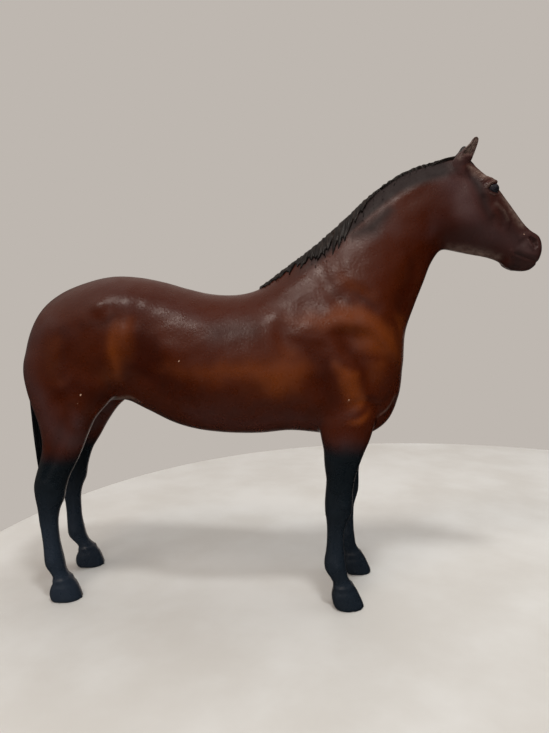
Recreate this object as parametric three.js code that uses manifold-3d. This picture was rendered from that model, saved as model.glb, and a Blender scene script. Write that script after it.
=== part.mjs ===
// A standing toy horse, injection moulded in hollow left and right halves that are glued along the middle.
// Each leg is parted again down its front and back edge: its outer side belongs to the body half, and its
// inner side is a piece of its own, held by two pins. The tail is a piece that plugs in at the dock.
//
// Every form is a loft through stations. A station is a closed section between two points of the side
// outline, a (top or front) and b (bottom or back), with its own half width and roundness.
// Millimetres, +X to the nose, +Y to the horse's left, +Z up.

import * as THREE from "three";
import { mergeVertices } from "three/addons/utils/BufferGeometryUtils.js";
import Module from "manifold-3d";

// Driving dimensions
const TRUNK_LENGTH = 164; // point of buttock to point of shoulder
const WITHERS_HEIGHT = 140;
const BARREL_WIDTH = 54;
const NECK_LENGTH = 93; // withers to poll
const NECK_WIDTH = 17; // at mid length
const HEAD_LENGTH = 54; // poll to lips
const HEAD_WIDTH = 19.4; // over the cheeks
const EAR_LENGTH = 13;
const EAR_WALL = 0.8;
const LEFT_EAR_SWEEP = 2.5; // how far the tip of the left ear lies behind the tip of the right one
const STANCE_WIDTH = 34; // between the middles of a pair of hooves
const FOREARM_DEPTH = 20; // front to back, under the elbow
const FOREARM_WIDTH = 16.4;
const THIGH_DEPTH = 41; // front to back, at the stifle
const THIGH_WIDTH = 19;
const HOOF_LENGTH = 13.4; // toe to heel
const HOOF_WIDTH = 12.4;
const HOOF_HEIGHT = 9;
const LEFT_FORE_STEP = 6.6; // how far the left foreleg stands in front of the right one
const LEFT_HIND_STEP = -4.1;
const TAIL_LENGTH = 92;
const TAIL_WIDTH = 12;
const TAIL_DEPTH = 10;
const MANE_THICKNESS = 1.3;
const MANE_ROOT = 1.2; // how deep the mane is bedded in the neck
const MANE_FALL = 23; // from the crest, down the left side
const MANE_ROACH = 6; // from the crest, down the right side
const MANE_LOCKS = 9;
const NOSTRIL_LENGTH = 3.4;

// Moulding
const WALL = 2.4;
const SEAT_GAP = 0.3; // glue gap between a piece and the curved surface that it meets
const BOSS_RADIUS = 3.2;
const PIN_RADIUS = 1.3;
const PIN_LENGTH = 3;
const LEG_PIN_RADIUS = 1;
const LEG_PIN_LENGTH = 1.8;
const PIN_CLEARANCE = 0.3;
const DOCK_PEG_RADIUS = 2.2;
const DOCK_PEG_LENGTH = 18;
const OVERRUN = 1; // how far a pin or cutter runs past the face it starts from

// Facets
const BODY_SIDES = 30;
const BODY_RINGS = 60;
const HEAD_SIDES = 20;
const HEAD_RINGS = 28;
const LEG_SIDES = 12;
const LEG_RINGS = 30;
const SMALL_SIDES = 10;

// Stations of the trunk, from the buttocks to the withers. Columns: a's x and z, b's x and z, half width,
// level of the widest point from b to a, roundness above and below it (2 is an ellipse, more is fuller).
// x follows the trunk's length, z the height at the withers, and the half width half of the barrel's.
const trunkShares = [
  [-0.002, 0.786, -0.002, 0.721, 0.278, 0.5, 2, 2],
  [0.006, 0.843, 0.002, 0.657, 0.489, 0.5, 2, 2.2],
  [0.037, 0.911, 0.021, 0.614, 0.659, 0.5, 2, 2.3],
  [0.085, 0.956, 0.064, 0.586, 0.785, 0.5, 2, 2.4],
  [0.155, 0.987, 0.119, 0.586, 0.874, 0.52, 2.1, 2.5],
  [0.223, 1.004, 0.189, 0.6, 0.922, 0.53, 2.1, 2.4],
  [0.293, 1.001, 0.25, 0.614, 0.919, 0.52, 2.05, 2.3],
  [0.36, 0.986, 0.317, 0.58, 0.926, 0.5, 2, 2.2],
  [0.421, 0.966, 0.39, 0.54, 0.963, 0.48, 2, 2.2],
  [0.482, 0.95, 0.457, 0.519, 0.993, 0.46, 2, 2.2],
  [0.54, 0.945, 0.537, 0.51, 1, 0.45, 1.9, 2.2],
  [0.591, 0.953, 0.622, 0.51, 0.985, 0.45, 1.75, 2.2],
  [0.634, 0.974, 0.707, 0.519, 0.937, 0.43, 1.6, 2.2],
];

// The same columns for the fan of stations that swings from the withers and girth into the neck. a follows
// the neck's length, counted from the withers, and the rest is as in the trunk.
const shoulderShares = [
  [0.026, 0.025, 0.799, 0.511, 0.881, 0.41, 1.5, 2.4],
  [0.112, 0.088, 0.888, 0.504, 0.83, 0.4, 1.45, 2.6],
  [0.209, 0.162, 0.958, 0.548, 0.752, 0.39, 1.45, 2.4],
  [0.311, 0.251, 0.991, 0.632, 0.637, 0.4, 1.5, 2.2],
  [0.404, 0.339, 1.001, 0.729, 0.504, 0.42, 1.6, 2.1],
  [0.49, 0.411, 1.007, 0.825, 0.407, 0.45, 1.65, 2],
];

// The same columns for the neck. Both points follow its length from the withers, and the half width
// follows half of the neck's.
const neckShares = [
  [0.571, 0.463, 0.651, -0.129, 1.129, 0.47, 1.75, 2],
  [0.648, 0.498, 0.691, -0.019, 1.035, 0.5, 1.8, 2],
  [0.729, 0.52, 0.725, 0.071, 0.988, 0.52, 1.9, 2],
  [0.804, 0.543, 0.778, 0.145, 0.941, 0.52, 2, 2],
  [0.863, 0.54, 0.847, 0.204, 0.659, 0.5, 2, 2],
];

// The same columns for the head, from inside the neck to the lips, counted from the poll. Both points
// follow the head's length, and the half width follows half of the head's.
const headShares = [
  [-0.157, -0.065, -0.213, -0.583, 0.474, 0.5, 2, 2],
  [-0.056, -0.006, -0.191, -0.676, 0.701, 0.48, 2, 2.1],
  [0.052, -0.019, -0.117, -0.704, 0.887, 0.46, 2.1, 2.2],
  [0.128, -0.081, -0.004, -0.728, 0.959, 0.5, 2.3, 2.2],
  [0.2, -0.152, 0.109, -0.75, 0.928, 0.55, 2.4, 2],
  [0.274, -0.231, 0.194, -0.767, 0.845, 0.56, 2.3, 1.9],
  [0.346, -0.32, 0.265, -0.787, 0.722, 0.55, 2.2, 1.9],
  [0.42, -0.415, 0.324, -0.815, 0.629, 0.52, 2.2, 2],
  [0.493, -0.507, 0.365, -0.852, 0.577, 0.5, 2.2, 2.1],
  [0.55, -0.567, 0.417, -0.872, 0.598, 0.55, 2.4, 2.1],
  [0.602, -0.6, 0.489, -0.881, 0.619, 0.58, 2.4, 2.2],
  [0.626, -0.674, 0.552, -0.869, 0.546, 0.52, 2.3, 2.3],
  [0.622, -0.743, 0.585, -0.831, 0.371, 0.5, 2, 2],
];

// Swellings and hollows of the body's surface. Columns: middle's x and z as in the trunk, half length and
// half height as shares of the height at the withers, forward lean in turns, and rise of the surface as a
// share of the barrel's half width where the body is as wide as the barrel.
const muscleShares = [
  [0.305, 0.915, 0.046, 0.032, 0.02, 0.045], // point of hip
  [0.207, 0.893, 0.036, 0.036, 0, 0.030], // croup
  [0.260, 0.790, 0.034, 0.070, 0.01, 0.045], // front of the thigh
  [0.110, 0.750, 0.050, 0.100, 0.01, 0.030], // back of the thigh
  [0.350, 0.755, 0.042, 0.070, -0.02, -0.050], // flank
  [0.470, 0.860, 0.110, 0.036, 0.05, 0.020], // ribs under the loin
  [0.720, 0.930, 0.036, 0.075, -0.06, 0.045], // shoulder blade
  [0.775, 0.850, 0.065, 0.045, -0.03, 0.040], // upper triceps
  [0.838, 0.690, 0.040, 0.060, -0.04, 0.055], // lower triceps
  [0.765, 0.690, 0.028, 0.070, -0.03, -0.040], // hollow behind the elbow
  [0.880, 0.745, 0.018, 0.070, -0.07, -0.045], // groove behind the point of shoulder
  [0.940, 0.800, 0.055, 0.052, 0, 0.090], // point of shoulder
  [0.930, 0.660, 0.045, 0.060, 0, 0.050], // breast
  [0.845, 0.905, 0.020, 0.075, 0.12, -0.045], // groove in front of the shoulder blade
  [0.880, 0.985, 0.035, 0.080, -0.09, 0.035], // lower neck
];

// The same for the head: x and z from the poll, half length and half height by the head's length, lean in
// turns, and rise as a share of the head's half width.
const faceShares = [
  [0.205, -0.235, 0.062, 0.050, -0.08, 0.20], // orbit
  [0.197, -0.262, 0.030, 0.022, -0.08, 0.10], // eyeball
  [0.100, -0.240, 0.050, 0.060, 0, -0.10], // temple
  [-0.030, -0.500, 0.130, 0.150, 0, 0.10], // cheek
  [0.235, -0.420, 0.030, 0.120, -0.13, 0.08], // cheek bone
  [0.330, -0.560, 0.060, 0.090, 0, -0.12], // hollow above the lips
  [0.545, -0.660, 0.050, 0.055, 0, 0.14], // nostril wing
  [0.490, -0.830, 0.070, 0.045, 0, 0.10], // lower lip
];

// Stations of a foreleg, from inside the shoulder down to the pastern. Columns: front point's x and z, back
// point's x and z, half width, middle's place across the body, roundness in front and behind, and how much
// of the left leg's step it takes. x counts from the elbow and follows the forearm's depth, z goes from the
// top of the hoof to the withers, the half width follows half of the forearm's, and the place across half
// of the stance.
const foreLegShares = [
  [1.15, 0.74, 0.1, 0.718, 0.537, 0.741, 2, 2, 0.1],
  [1.18, 0.649, 0, 0.634, 0.854, 0.788, 2, 2, 0.15],
  [1.19, 0.573, -0.05, 0.565, 0.988, 0.859, 2.1, 2, 0.3],
  [1.08, 0.5, -0.005, 0.504, 1, 0.924, 2.2, 2, 0.45],
  [0.935, 0.443, 0.075, 0.443, 0.902, 0.959, 2.2, 2, 0.6],
  [0.82, 0.395, 0.095, 0.395, 0.793, 0.982, 2.2, 2, 0.75],
  [0.73, 0.35, 0.135, 0.35, 0.707, 0.994, 2.3, 2, 0.84],
  [0.695, 0.311, 0.125, 0.311, 0.671, 1, 2.5, 2.1, 0.84],
  [0.69, 0.279, 0.11, 0.279, 0.683, 1, 2.7, 2.2, 0.86],
  [0.67, 0.244, 0.115, 0.244, 0.659, 1, 2.7, 2.2, 0.9],
  [0.595, 0.215, 0.145, 0.215, 0.573, 1, 2.4, 2.2, 1],
  [0.53, 0.183, 0.16, 0.183, 0.476, 1, 2.1, 2.1, 1.04],
  [0.515, 0.145, 0.155, 0.145, 0.439, 1, 2.1, 2.1, 1.05],
  [0.53, 0.111, 0.135, 0.111, 0.463, 1, 2.1, 2.1, 1.02],
  [0.55, 0.081, 0.105, 0.081, 0.549, 1, 2.1, 2.1, 1],
  [0.58, 0.055, 0.125, 0.053, 0.561, 1, 2.1, 2.1, 0.98],
  [0.605, 0.032, 0.225, 0.029, 0.488, 1, 2.1, 2.1, 0.98],
  [0.665, 0.014, 0.295, 0.01, 0.5, 1, 2.1, 2.2, 1.02],
];

// The same for a hind leg, where x counts from the point of buttock and follows the thigh's depth, and the
// half width follows half of the thigh's.
const hindLegShares = [
  [0.878, 0.847, 0.22, 0.794, 0.526, 0.765, 2, 2, 0.05],
  [1.012, 0.763, 0.039, 0.748, 0.842, 0.847, 2, 2, 0.05],
  [1.054, 0.691, 0.01, 0.691, 0.937, 0.894, 2.1, 2, 0.05],
  [1.024, 0.63, 0.041, 0.637, 0.947, 0.918, 2.1, 2, 0.05],
  [0.907, 0.58, 0.1, 0.588, 0.905, 0.941, 2.1, 2, 0.1],
  [0.79, 0.539, 0.163, 0.542, 0.853, 0.965, 2.1, 2, 0.4],
  [0.705, 0.485, 0.212, 0.492, 0.768, 0.988, 2.1, 2, 0.85],
  [0.637, 0.431, 0.224, 0.439, 0.653, 1, 2.1, 2, 1.15],
  [0.566, 0.385, 0.19, 0.393, 0.579, 1, 2.1, 2, 1.35],
  [0.495, 0.344, 0.149, 0.353, 0.537, 1, 2.2, 2, 1.15],
  [0.456, 0.308, 0.12, 0.313, 0.537, 1, 2.3, 2, 1.05],
  [0.429, 0.269, 0.132, 0.275, 0.537, 1, 2.3, 2.1, 1],
  [0.38, 0.234, 0.154, 0.237, 0.474, 1, 2.2, 2.1, 1],
  [0.359, 0.195, 0.163, 0.195, 0.4, 1, 2.1, 2.1, 1],
  [0.361, 0.153, 0.183, 0.153, 0.379, 1, 2.1, 2.1, 1.02],
  [0.376, 0.115, 0.198, 0.115, 0.389, 1, 2.1, 2.1, 1.1],
  [0.398, 0.079, 0.207, 0.076, 0.453, 1, 2.1, 2.1, 1.12],
  [0.415, 0.05, 0.22, 0.046, 0.474, 1, 2.1, 2.1, 1.1],
  [0.429, 0.026, 0.268, 0.021, 0.421, 1, 2.1, 2.1, 0.9],
  [0.463, 0.009, 0.298, 0.005, 0.432, 1, 2.1, 2.2, 0.7],
];

// Sections of a hoof, from the coronet to the ground: toe's place and height, heel's place and height, and
// half width. They count from the heel on the ground and follow the hoof's length, height and half width.
const foreHoofShares = [
  [0.619, 0.956, -0.067, 0.878, 0.823],
  [0.724, 0.689, -0.112, 0.622, 0.919],
  [0.813, 0.4, -0.104, 0.356, 0.968],
  [0.903, 0.1, -0.052, 0.1, 1],
  [0.918, 0, 0, 0, 0.984],
];
const hindHoofShares = [
  [0.657, 0.922, 0.03, 0.833, 0.806],
  [0.776, 0.667, -0.045, 0.578, 0.903],
  [0.866, 0.378, -0.075, 0.333, 0.952],
  [0.933, 0.1, -0.037, 0.1, 0.984],
  [0.948, 0, 0, 0, 0.968],
];

// Stations of an ear: front point's x and z, back point's x and z, and half width, all by the ear's length
// from the middle of its base, and how far it leans outwards.
const earShares = [
  [0.204, -0.346, -0.273, -0.423, 0.146, -0.062],
  [0.273, 0.1, -0.273, 0.054, 0.192, -0.008],
  [0.327, 0.369, -0.119, 0.3, 0.177, 0.038],
  [0.373, 0.577, 0.05, 0.523, 0.138, 0.069],
  [0.396, 0.731, 0.219, 0.715, 0.085, 0.092],
  [0.373, 0.831, 0.312, 0.831, 0.031, 0.1],
];

// Stations of the tail: back point's x and z, front point's x and z, and half width, counted from the dock
// and following the tail's depth, length and half width.
const tailShares = [
  [-0.1, -0.033, 0.5, -0.065, 0.4],
  [-0.66, -0.072, 0, -0.141, 0.633],
  [-1.16, -0.168, -0.56, -0.228, 0.8],
  [-1.44, -0.283, -0.89, -0.315, 0.9],
  [-1.5, -0.402, -0.93, -0.413, 0.95],
  [-1.42, -0.533, -0.89, -0.533, 0.95],
  [-1.32, -0.663, -0.82, -0.663, 0.85],
  [-1.19, -0.799, -0.79, -0.799, 0.667],
  [-1.06, -0.902, -0.83, -0.913, 0.383],
  [-0.96, -0.973, -0.9, -0.975, 0.1],
];

// Places, as shares of the length and height that they follow
const withersShares = [0.66, 0.993]; // trunk's length, height at the withers
const pollShares = [0.853, 0.543]; // neck's length, from the withers
const elbowShare = 0.78; // trunk's length
const dockShares = [1, 0.921]; // tail's depth, height at the withers
const dockPegShares = [-1.1, -0.185]; // tail's depth and length, from the dock, to the peg's rear end
const earBaseShares = [-0.006, -0.074, 0.495]; // head's length from the poll, and head's half width
const nostrilShares = [0.560, -0.675, 0.62]; // the same
const foreHeelShare = 0.075; // hoof's length, from the back of the pastern
const hindHeelShare = -0.022;
const foreJoinShare = 0.49; // height at the withers, where an inner leg begins
const hindJoinShare = 0.56;
const hoofWidestShare = 0.42; // from heel to toe
const hoofRoundness = [2.1, 2.8]; // toe, heel
const legPinShares = [0.34, 0.62]; // a leg's stations
const bodyHollowShares = [0.1, 0.93]; // the body's stations
const headHollowShares = [0.1, 0.62]; // the head's stations
const maneStretchShares = [0.5, 0.94]; // the body's stations
const lockDipShare = 0.22; // how much shorter the mane is between two locks
const maneEdgeShare = 0.3; // thickness of the mane along its edge
const bossShares = [
  [0.17, 0.80],
  [0.43, 0.74],
  [0.70, 0.74],
  [0.93, 0.86],
  [1.02, 1.12],
]; // trunk's length, height at the withers

const wasm = await Module();
wasm.setup();

const trunkPoint = ([x, z]) => new THREE.Vector2(x * TRUNK_LENGTH, z * WITHERS_HEIGHT);
const withers = trunkPoint(withersShares);
const neckPoint = ([x, z]) => new THREE.Vector2(x, z).multiplyScalar(NECK_LENGTH).add(withers);
const poll = neckPoint(pollShares);
const headPoint = ([x, z]) => new THREE.Vector2(x, z).multiplyScalar(HEAD_LENGTH).add(poll);
const dock = new THREE.Vector2(dockShares[0] * TAIL_DEPTH, dockShares[1] * WITHERS_HEIGHT);

const station = (a, b, half, middle, form) => [a.x, a.y, b.x, b.y, half, middle, ...form];

function bodyStations() {
  const barrel = BARREL_WIDTH / 2;
  const neck = NECK_WIDTH / 2;
  return [
    ...trunkShares.map(([ax, az, bx, bz, half, ...form]) =>
      station(trunkPoint([ax, az]), trunkPoint([bx, bz]), half * barrel, 0, form)),
    ...shoulderShares.map(([ax, az, bx, bz, half, ...form]) =>
      station(neckPoint([ax, az]), trunkPoint([bx, bz]), half * barrel, 0, form)),
    ...neckShares.map(([ax, az, bx, bz, half, ...form]) =>
      station(neckPoint([ax, az]), neckPoint([bx, bz]), half * neck, 0, form)),
  ];
}

function headStations() {
  return headShares.map(([ax, az, bx, bz, half, ...form]) =>
    station(headPoint([ax, az]), headPoint([bx, bz]), half * HEAD_WIDTH / 2, 0, form));
}

// Reads the stations at a place t from 0 to 1, on a Catmull-Rom spline through each column.
function stationAt(stations, t) {
  const last = stations.length - 1;
  const span = Math.min(Math.floor(t * last), last - 1);
  const u = t * last - span;
  const row = (n) => stations[THREE.MathUtils.clamp(n, 0, last)];
  const [before, from, to, after] = [row(span - 1), row(span), row(span + 1), row(span + 2)];
  return from.map((value, n) => {
    const rise = to[n] - value;
    const slopeIn = (to[n] - before[n]) / 2;
    const slopeOut = (after[n] - value) / 2;
    const square = 3 * rise - 2 * slopeIn - slopeOut;
    const cube = slopeIn + slopeOut - 2 * rise;
    return value + u * (slopeIn + u * (square + u * cube));
  });
}

// The point of a station at an angle: 0 at a, a quarter turn at the left, a half turn at b. grow moves it
// out from the section, or in where it is negative.
function sectionPoint([ax, az, bx, bz, half, middle, widest, upper, lower], angle, grow) {
  const along = new THREE.Vector2(ax - bx, az - bz);
  const height = along.length();
  along.normalize();
  const c = Math.cos(angle);
  const s = Math.abs(Math.sin(angle)) > Number.EPSILON ? Math.sin(angle) : 0;
  const power = 2 / (c > 0 ? upper : lower);
  const reach = (c > 0 ? 1 - widest : widest) * height + grow;
  const level = widest * height + Math.sign(c) * Math.abs(c) ** power * reach;
  const across = Math.sign(s) * Math.abs(s) ** power * (half + grow);
  return new THREE.Vector3(bx + along.x * level, middle + across, bz + along.y * level);
}

const sectionRing = (row, sides, grow = 0) =>
  Array.from({ length: sides }, (_, n) => sectionPoint(row, (2 * Math.PI * n) / sides, grow));

// Moves a point sideways by every swelling and hollow that it lies in.
function raise(point, swellings, half) {
  let rise = 0;
  for (const { middle, length, height, lean, share } of swellings) {
    const away = new THREE.Vector2(point.x, point.z).sub(middle).rotateAround(new THREE.Vector2(), lean);
    rise += share * Math.exp(-((away.x / length) ** 2) - (away.y / height) ** 2);
  }
  point.y += rise * THREE.MathUtils.clamp(point.y, -half, half);
}

const swellingsOf = (shares, place, size) =>
  shares.map(([x, z, length, height, lean, share]) => ({
    middle: place([x, z]),
    length: length * size,
    height: height * size,
    lean: lean * 2 * Math.PI,
    share,
  }));

// A closed solid through rings of equal counts, each end closed on the middle of its ring.
function loft(rings) {
  const sides = rings[0].length;
  const points = rings.flat();
  const faces = [];
  for (let r = 0; r + 1 < rings.length; r++) {
    for (let n = 0; n < sides; n++) {
      const p = r * sides + n;
      const q = r * sides + ((n + 1) % sides);
      faces.push(p, q, q + sides, p, q + sides, p + sides);
    }
  }
  for (const r of [0, rings.length - 1]) {
    const pole = points.length;
    const sum = rings[r].reduce((total, point) => total.add(point), new THREE.Vector3());
    points.push(sum.divideScalar(sides));
    for (let n = 0; n < sides; n++) {
      const edge = [r * sides + n, r * sides + ((n + 1) % sides)];
      if (r === 0) edge.reverse();
      faces.push(pole, ...edge);
    }
  }
  const geometry = new THREE.BufferGeometry().setFromPoints(points);
  geometry.setIndex(faces);
  return solidOf(geometry);
}

function loftStations(stations, { rings, sides, grow = 0, stretch = [0, 1], swellings = [], half = 1 }) {
  const [from, to] = stretch;
  const sections = Array.from({ length: rings }, (_, n) => {
    const row = stationAt(stations, from + ((to - from) * n) / (rings - 1));
    return sectionRing(row, sides, grow);
  });
  sections.flat().forEach((point) => raise(point, swellings, half));
  return loft(sections);
}

// A geometry as a solid with its faces pointing out.
function solidOf(geometry) {
  const bare = geometry.clone();
  bare.deleteAttribute("normal");
  bare.deleteAttribute("uv");
  const merged = mergeVertices(bare);
  const vertProperties = merged.attributes.position.array;
  const make = (triVerts) => new wasm.Manifold(new wasm.Mesh({ numProp: 3, vertProperties, triVerts }));
  const faces = new Uint32Array(merged.index.array);
  const solid = make(faces);
  return solid.volume() < 0 ? make(faces.reverse()) : solid;
}

// Everything on one side of a plane square to an axis, up to well past the horse.
function halfSpace(axis, place, sign) {
  const size = 2 * (TRUNK_LENGTH + NECK_LENGTH + HEAD_LENGTH);
  const centre = new THREE.Vector3();
  centre[axis] = place + (sign * size) / 2;
  return solidOf(new THREE.BoxGeometry(size, size, size).translate(...centre));
}

// A round bar across the body.
function crossBar(radius, x, z, from, to) {
  const bar = new THREE.CylinderGeometry(radius, radius, Math.abs(to - from), SMALL_SIDES);
  return solidOf(bar.translate(x, (from + to) / 2, z));
}

function legStations({ shares, hoof, root, depth, width, heel, side, step }) {
  const middle = 0.5;
  const leg = shares.map(([fx, fz, bx, bz, half, across, front, back, follow]) => {
    const shift = root + follow * step;
    const height = (share) => HOOF_HEIGHT + share * (WITHERS_HEIGHT - HOOF_HEIGHT);
    const a = new THREE.Vector2(shift + fx * depth, height(fz));
    const b = new THREE.Vector2(shift + bx * depth, height(bz));
    return station(a, b, half * width / 2, side * across * STANCE_WIDTH / 2, [middle, front, back]);
  });
  const heelX = leg.at(-1)[2] + heel * HOOF_LENGTH;
  const sections = hoof.map(([tx, tz, hx, hz, half]) => {
    const a = new THREE.Vector2(heelX + tx * HOOF_LENGTH, tz * HOOF_HEIGHT);
    const b = new THREE.Vector2(heelX + hx * HOOF_LENGTH, hz * HOOF_HEIGHT);
    const form = [hoofWidestShare, ...hoofRoundness];
    return station(a, b, half * HOOF_WIDTH / 2, side * STANCE_WIDTH / 2, form);
  });
  return [...leg, ...sections];
}

// A whole leg, parted below the joining height down the middle of its width.
function leg(design) {
  const { side, join } = design;
  const stations = legStations(design);
  const whole = loftStations(stations, { rings: LEG_RINGS, sides: LEG_SIDES });
  const parting = side * STANCE_WIDTH / 2;
  const zone = halfSpace("y", parting, -side)
    .intersect(halfSpace("y", side * SEAT_GAP / 2, side))
    .intersect(halfSpace("z", join, -1));
  const bars = (radius, length) =>
    legPinShares.map((t) => {
      const [ax, az, bx, bz] = stationAt(stations, t);
      return crossBar(radius, (ax + bx) / 2, (az + bz) / 2, parting - side * OVERRUN, parting + side * length);
    });
  const pins = bars(LEG_PIN_RADIUS, LEG_PIN_LENGTH);
  const sockets = bars(LEG_PIN_RADIUS + PIN_CLEARANCE, LEG_PIN_LENGTH + PIN_CLEARANCE);
  return {
    outer: sockets.reduce((solid, socket) => solid.subtract(socket), whole.subtract(zone)),
    inner: pins.reduce((solid, pin) => solid.add(pin), whole.intersect(zone)),
    grown: loftStations(stations, { rings: LEG_RINGS, sides: LEG_SIDES, grow: SEAT_GAP }),
  };
}

function earSolid(side, sweep) {
  const [baseX, baseZ, out] = earBaseShares;
  const base = headPoint([baseX, baseZ]);
  const round = [0.5, 2, 2];
  const shell = (thin, shift) =>
    loft(earShares.map(([fx, fz, bx, bz, half, lean]) => {
      const size = EAR_LENGTH;
      const back = sweep * Math.max(fz, 0);
      const a = new THREE.Vector2(base.x + fx * size + shift - back, base.y + fz * size + shift);
      const b = new THREE.Vector2(base.x + bx * size + shift + thin - back, base.y + bz * size + shift);
      const middle = side * (out * HEAD_WIDTH / 2 + lean * size + shift);
      return sectionRing(station(a, b, Math.max(half * size - thin, thin / 4), middle, round), SMALL_SIDES);
    }));
  const cup = shell(EAR_WALL, EAR_WALL).intersect(halfSpace("z", base.y + EAR_LENGTH / 4, 1));
  return shell(0, 0).subtract(cup);
}

// The angle at which a section has dropped by a length from its point a.
function angleOfDrop([ax, az, bx, bz, , , widest, upper], drop) {
  const reach = (1 - widest) * Math.hypot(ax - bx, az - bz);
  return Math.acos(Math.max(0, 1 - drop / reach) ** (upper / 2));
}

// The mane is a skin over the crest that falls on the left, with a swelling for each lock.
function maneSolid(body) {
  const [from, to] = maneStretchShares;
  const steps = 3 * MANE_LOCKS;
  const across = 6;
  const rings = Array.from({ length: steps + 1 }, (_, n) => {
    const along = n / steps;
    const row = stationAt(body, from + (to - from) * along);
    const wave = Math.abs(Math.sin(Math.PI * MANE_LOCKS * along));
    const taper = Math.min(1, 2 * Math.sin(Math.PI * along) + maneEdgeShare);
    const start = -angleOfDrop(row, MANE_ROACH * taper);
    const end = angleOfDrop(row, MANE_FALL * taper * (1 - lockDipShare * (1 - wave)));
    const angleAt = (m) => start + ((end - start) * m) / across;
    const swell = (m) => {
      const bulge = Math.sqrt(Math.sin((Math.PI * (m + maneEdgeShare)) / (across + 2 * maneEdgeShare)));
      return MANE_THICKNESS * bulge * (1 - lockDipShare * (1 - wave));
    };
    const count = { length: across + 1 };
    return [
      ...Array.from(count, (_, m) => sectionPoint(row, angleAt(m), swell(m))),
      ...Array.from(count, (_, m) => sectionPoint(row, angleAt(across - m), -MANE_ROOT)),
    ];
  });
  return loft(rings);
}

function nostrils() {
  const [x, z, out] = nostrilShares;
  const place = headPoint([x, z]);
  const pit = new THREE.SphereGeometry(NOSTRIL_LENGTH / 2, SMALL_SIDES, SMALL_SIDES / 2).scale(0.5, 0.6, 1);
  pit.rotateY(Math.PI / 8);
  const cut = (side) => solidOf(pit.clone().translate(place.x, side * out * HEAD_WIDTH / 2, place.y));
  return cut(1).add(cut(-1));
}

function tailSolid() {
  const round = [0.5, 2, 2];
  const stations = tailShares.map(([ax, az, bx, bz, half]) => {
    const a = new THREE.Vector2(dock.x + ax * TAIL_DEPTH, dock.y + az * TAIL_LENGTH);
    const b = new THREE.Vector2(dock.x + bx * TAIL_DEPTH, dock.y + bz * TAIL_LENGTH);
    return station(a, b, half * TAIL_WIDTH / 2, 0, round);
  });
  return loftStations(stations, { rings: 22, sides: LEG_SIDES });
}

// The peg that holds the tail runs forward out of the tail's front face, along the body.
function dockPeg(clearance) {
  const [back, down] = dockPegShares;
  const radius = DOCK_PEG_RADIUS + clearance;
  const peg = new THREE.CylinderGeometry(radius, radius, DOCK_PEG_LENGTH + 2 * clearance, SMALL_SIDES);
  const middle = dock.x + back * TAIL_DEPTH + DOCK_PEG_LENGTH / 2;
  return solidOf(peg.rotateZ(Math.PI / 2).translate(middle, 0, dock.y + down * TAIL_LENGTH));
}

const body = bodyStations();
const head = headStations();
const muscles = swellingsOf(muscleShares, trunkPoint, WITHERS_HEIGHT);
const face = swellingsOf(faceShares, headPoint, HEAD_LENGTH);
const bodyForm = { rings: BODY_RINGS, sides: BODY_SIDES, swellings: muscles, half: BARREL_WIDTH / 2 };
const headForm = { rings: HEAD_RINGS, sides: HEAD_SIDES, swellings: face, half: HEAD_WIDTH / 2 };
const coarse = { rings: BODY_RINGS / 2, sides: HEAD_SIDES, grow: -WALL };

const trunk = loftStations(body, bodyForm)
  .add(loftStations(head, headForm))
  .add(earSolid(1, LEFT_EAR_SWEEP))
  .add(earSolid(-1, 0))
  .add(maneSolid(body))
  .subtract(nostrils());
const grownTrunk = loftStations(body, { ...bodyForm, grow: SEAT_GAP });
const hollow = loftStations(body, { ...bodyForm, ...coarse, stretch: bodyHollowShares })
  .add(loftStations(head, { ...coarse, rings: HEAD_RINGS / 2, stretch: headHollowShares }));

const foreDesign = {
  shares: foreLegShares,
  hoof: foreHoofShares,
  root: elbowShare * TRUNK_LENGTH,
  depth: FOREARM_DEPTH,
  width: FOREARM_WIDTH,
  heel: foreHeelShare,
  join: foreJoinShare * WITHERS_HEIGHT,
};
const hindDesign = {
  shares: hindLegShares,
  hoof: hindHoofShares,
  root: 0,
  depth: THIGH_DEPTH,
  width: THIGH_WIDTH,
  heel: hindHeelShare,
  join: hindJoinShare * WITHERS_HEIGHT,
};

// One hollow half of the body with the outer sides of its two legs. The right half has the pins and the
// left half the sockets.
function bodyHalf(side, legs) {
  const skin = trunk.add(legs.fore.outer).add(legs.hind.outer).intersect(halfSpace("y", 0, side));
  let shell = skin.subtract(hollow);
  for (const shares of bossShares) {
    const { x, y: z } = trunkPoint(shares);
    shell = shell.add(crossBar(BOSS_RADIUS, x, z, 0, side * BARREL_WIDTH / 2).intersect(skin));
    if (side < 0) {
      shell = shell.add(crossBar(PIN_RADIUS, x, z, -OVERRUN, PIN_LENGTH));
    } else {
      const socket = crossBar(PIN_RADIUS + PIN_CLEARANCE, x, z, -OVERRUN, PIN_LENGTH + PIN_CLEARANCE);
      shell = shell.subtract(socket);
    }
  }
  return shell.subtract(dockPeg(PIN_CLEARANCE));
}

const bayCoat = new THREE.MeshStandardMaterial({ color: 0x5a2412, roughness: 0.45, metalness: 0 });
const legPaint = new THREE.MeshStandardMaterial({ color: 0x14171c, roughness: 0.5, metalness: 0 });
const tailPaint = new THREE.MeshStandardMaterial({ color: 0x121316, roughness: 0.5, metalness: 0 });

function piece(name, solid, material) {
  const { vertProperties, triVerts } = solid.getMesh();
  const geometry = new THREE.BufferGeometry();
  geometry.setAttribute("position", new THREE.BufferAttribute(vertProperties, 3));
  geometry.setIndex(new THREE.BufferAttribute(triVerts, 1));
  const mesh = new THREE.Mesh(geometry, material);
  mesh.name = name;
  return mesh;
}

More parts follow.
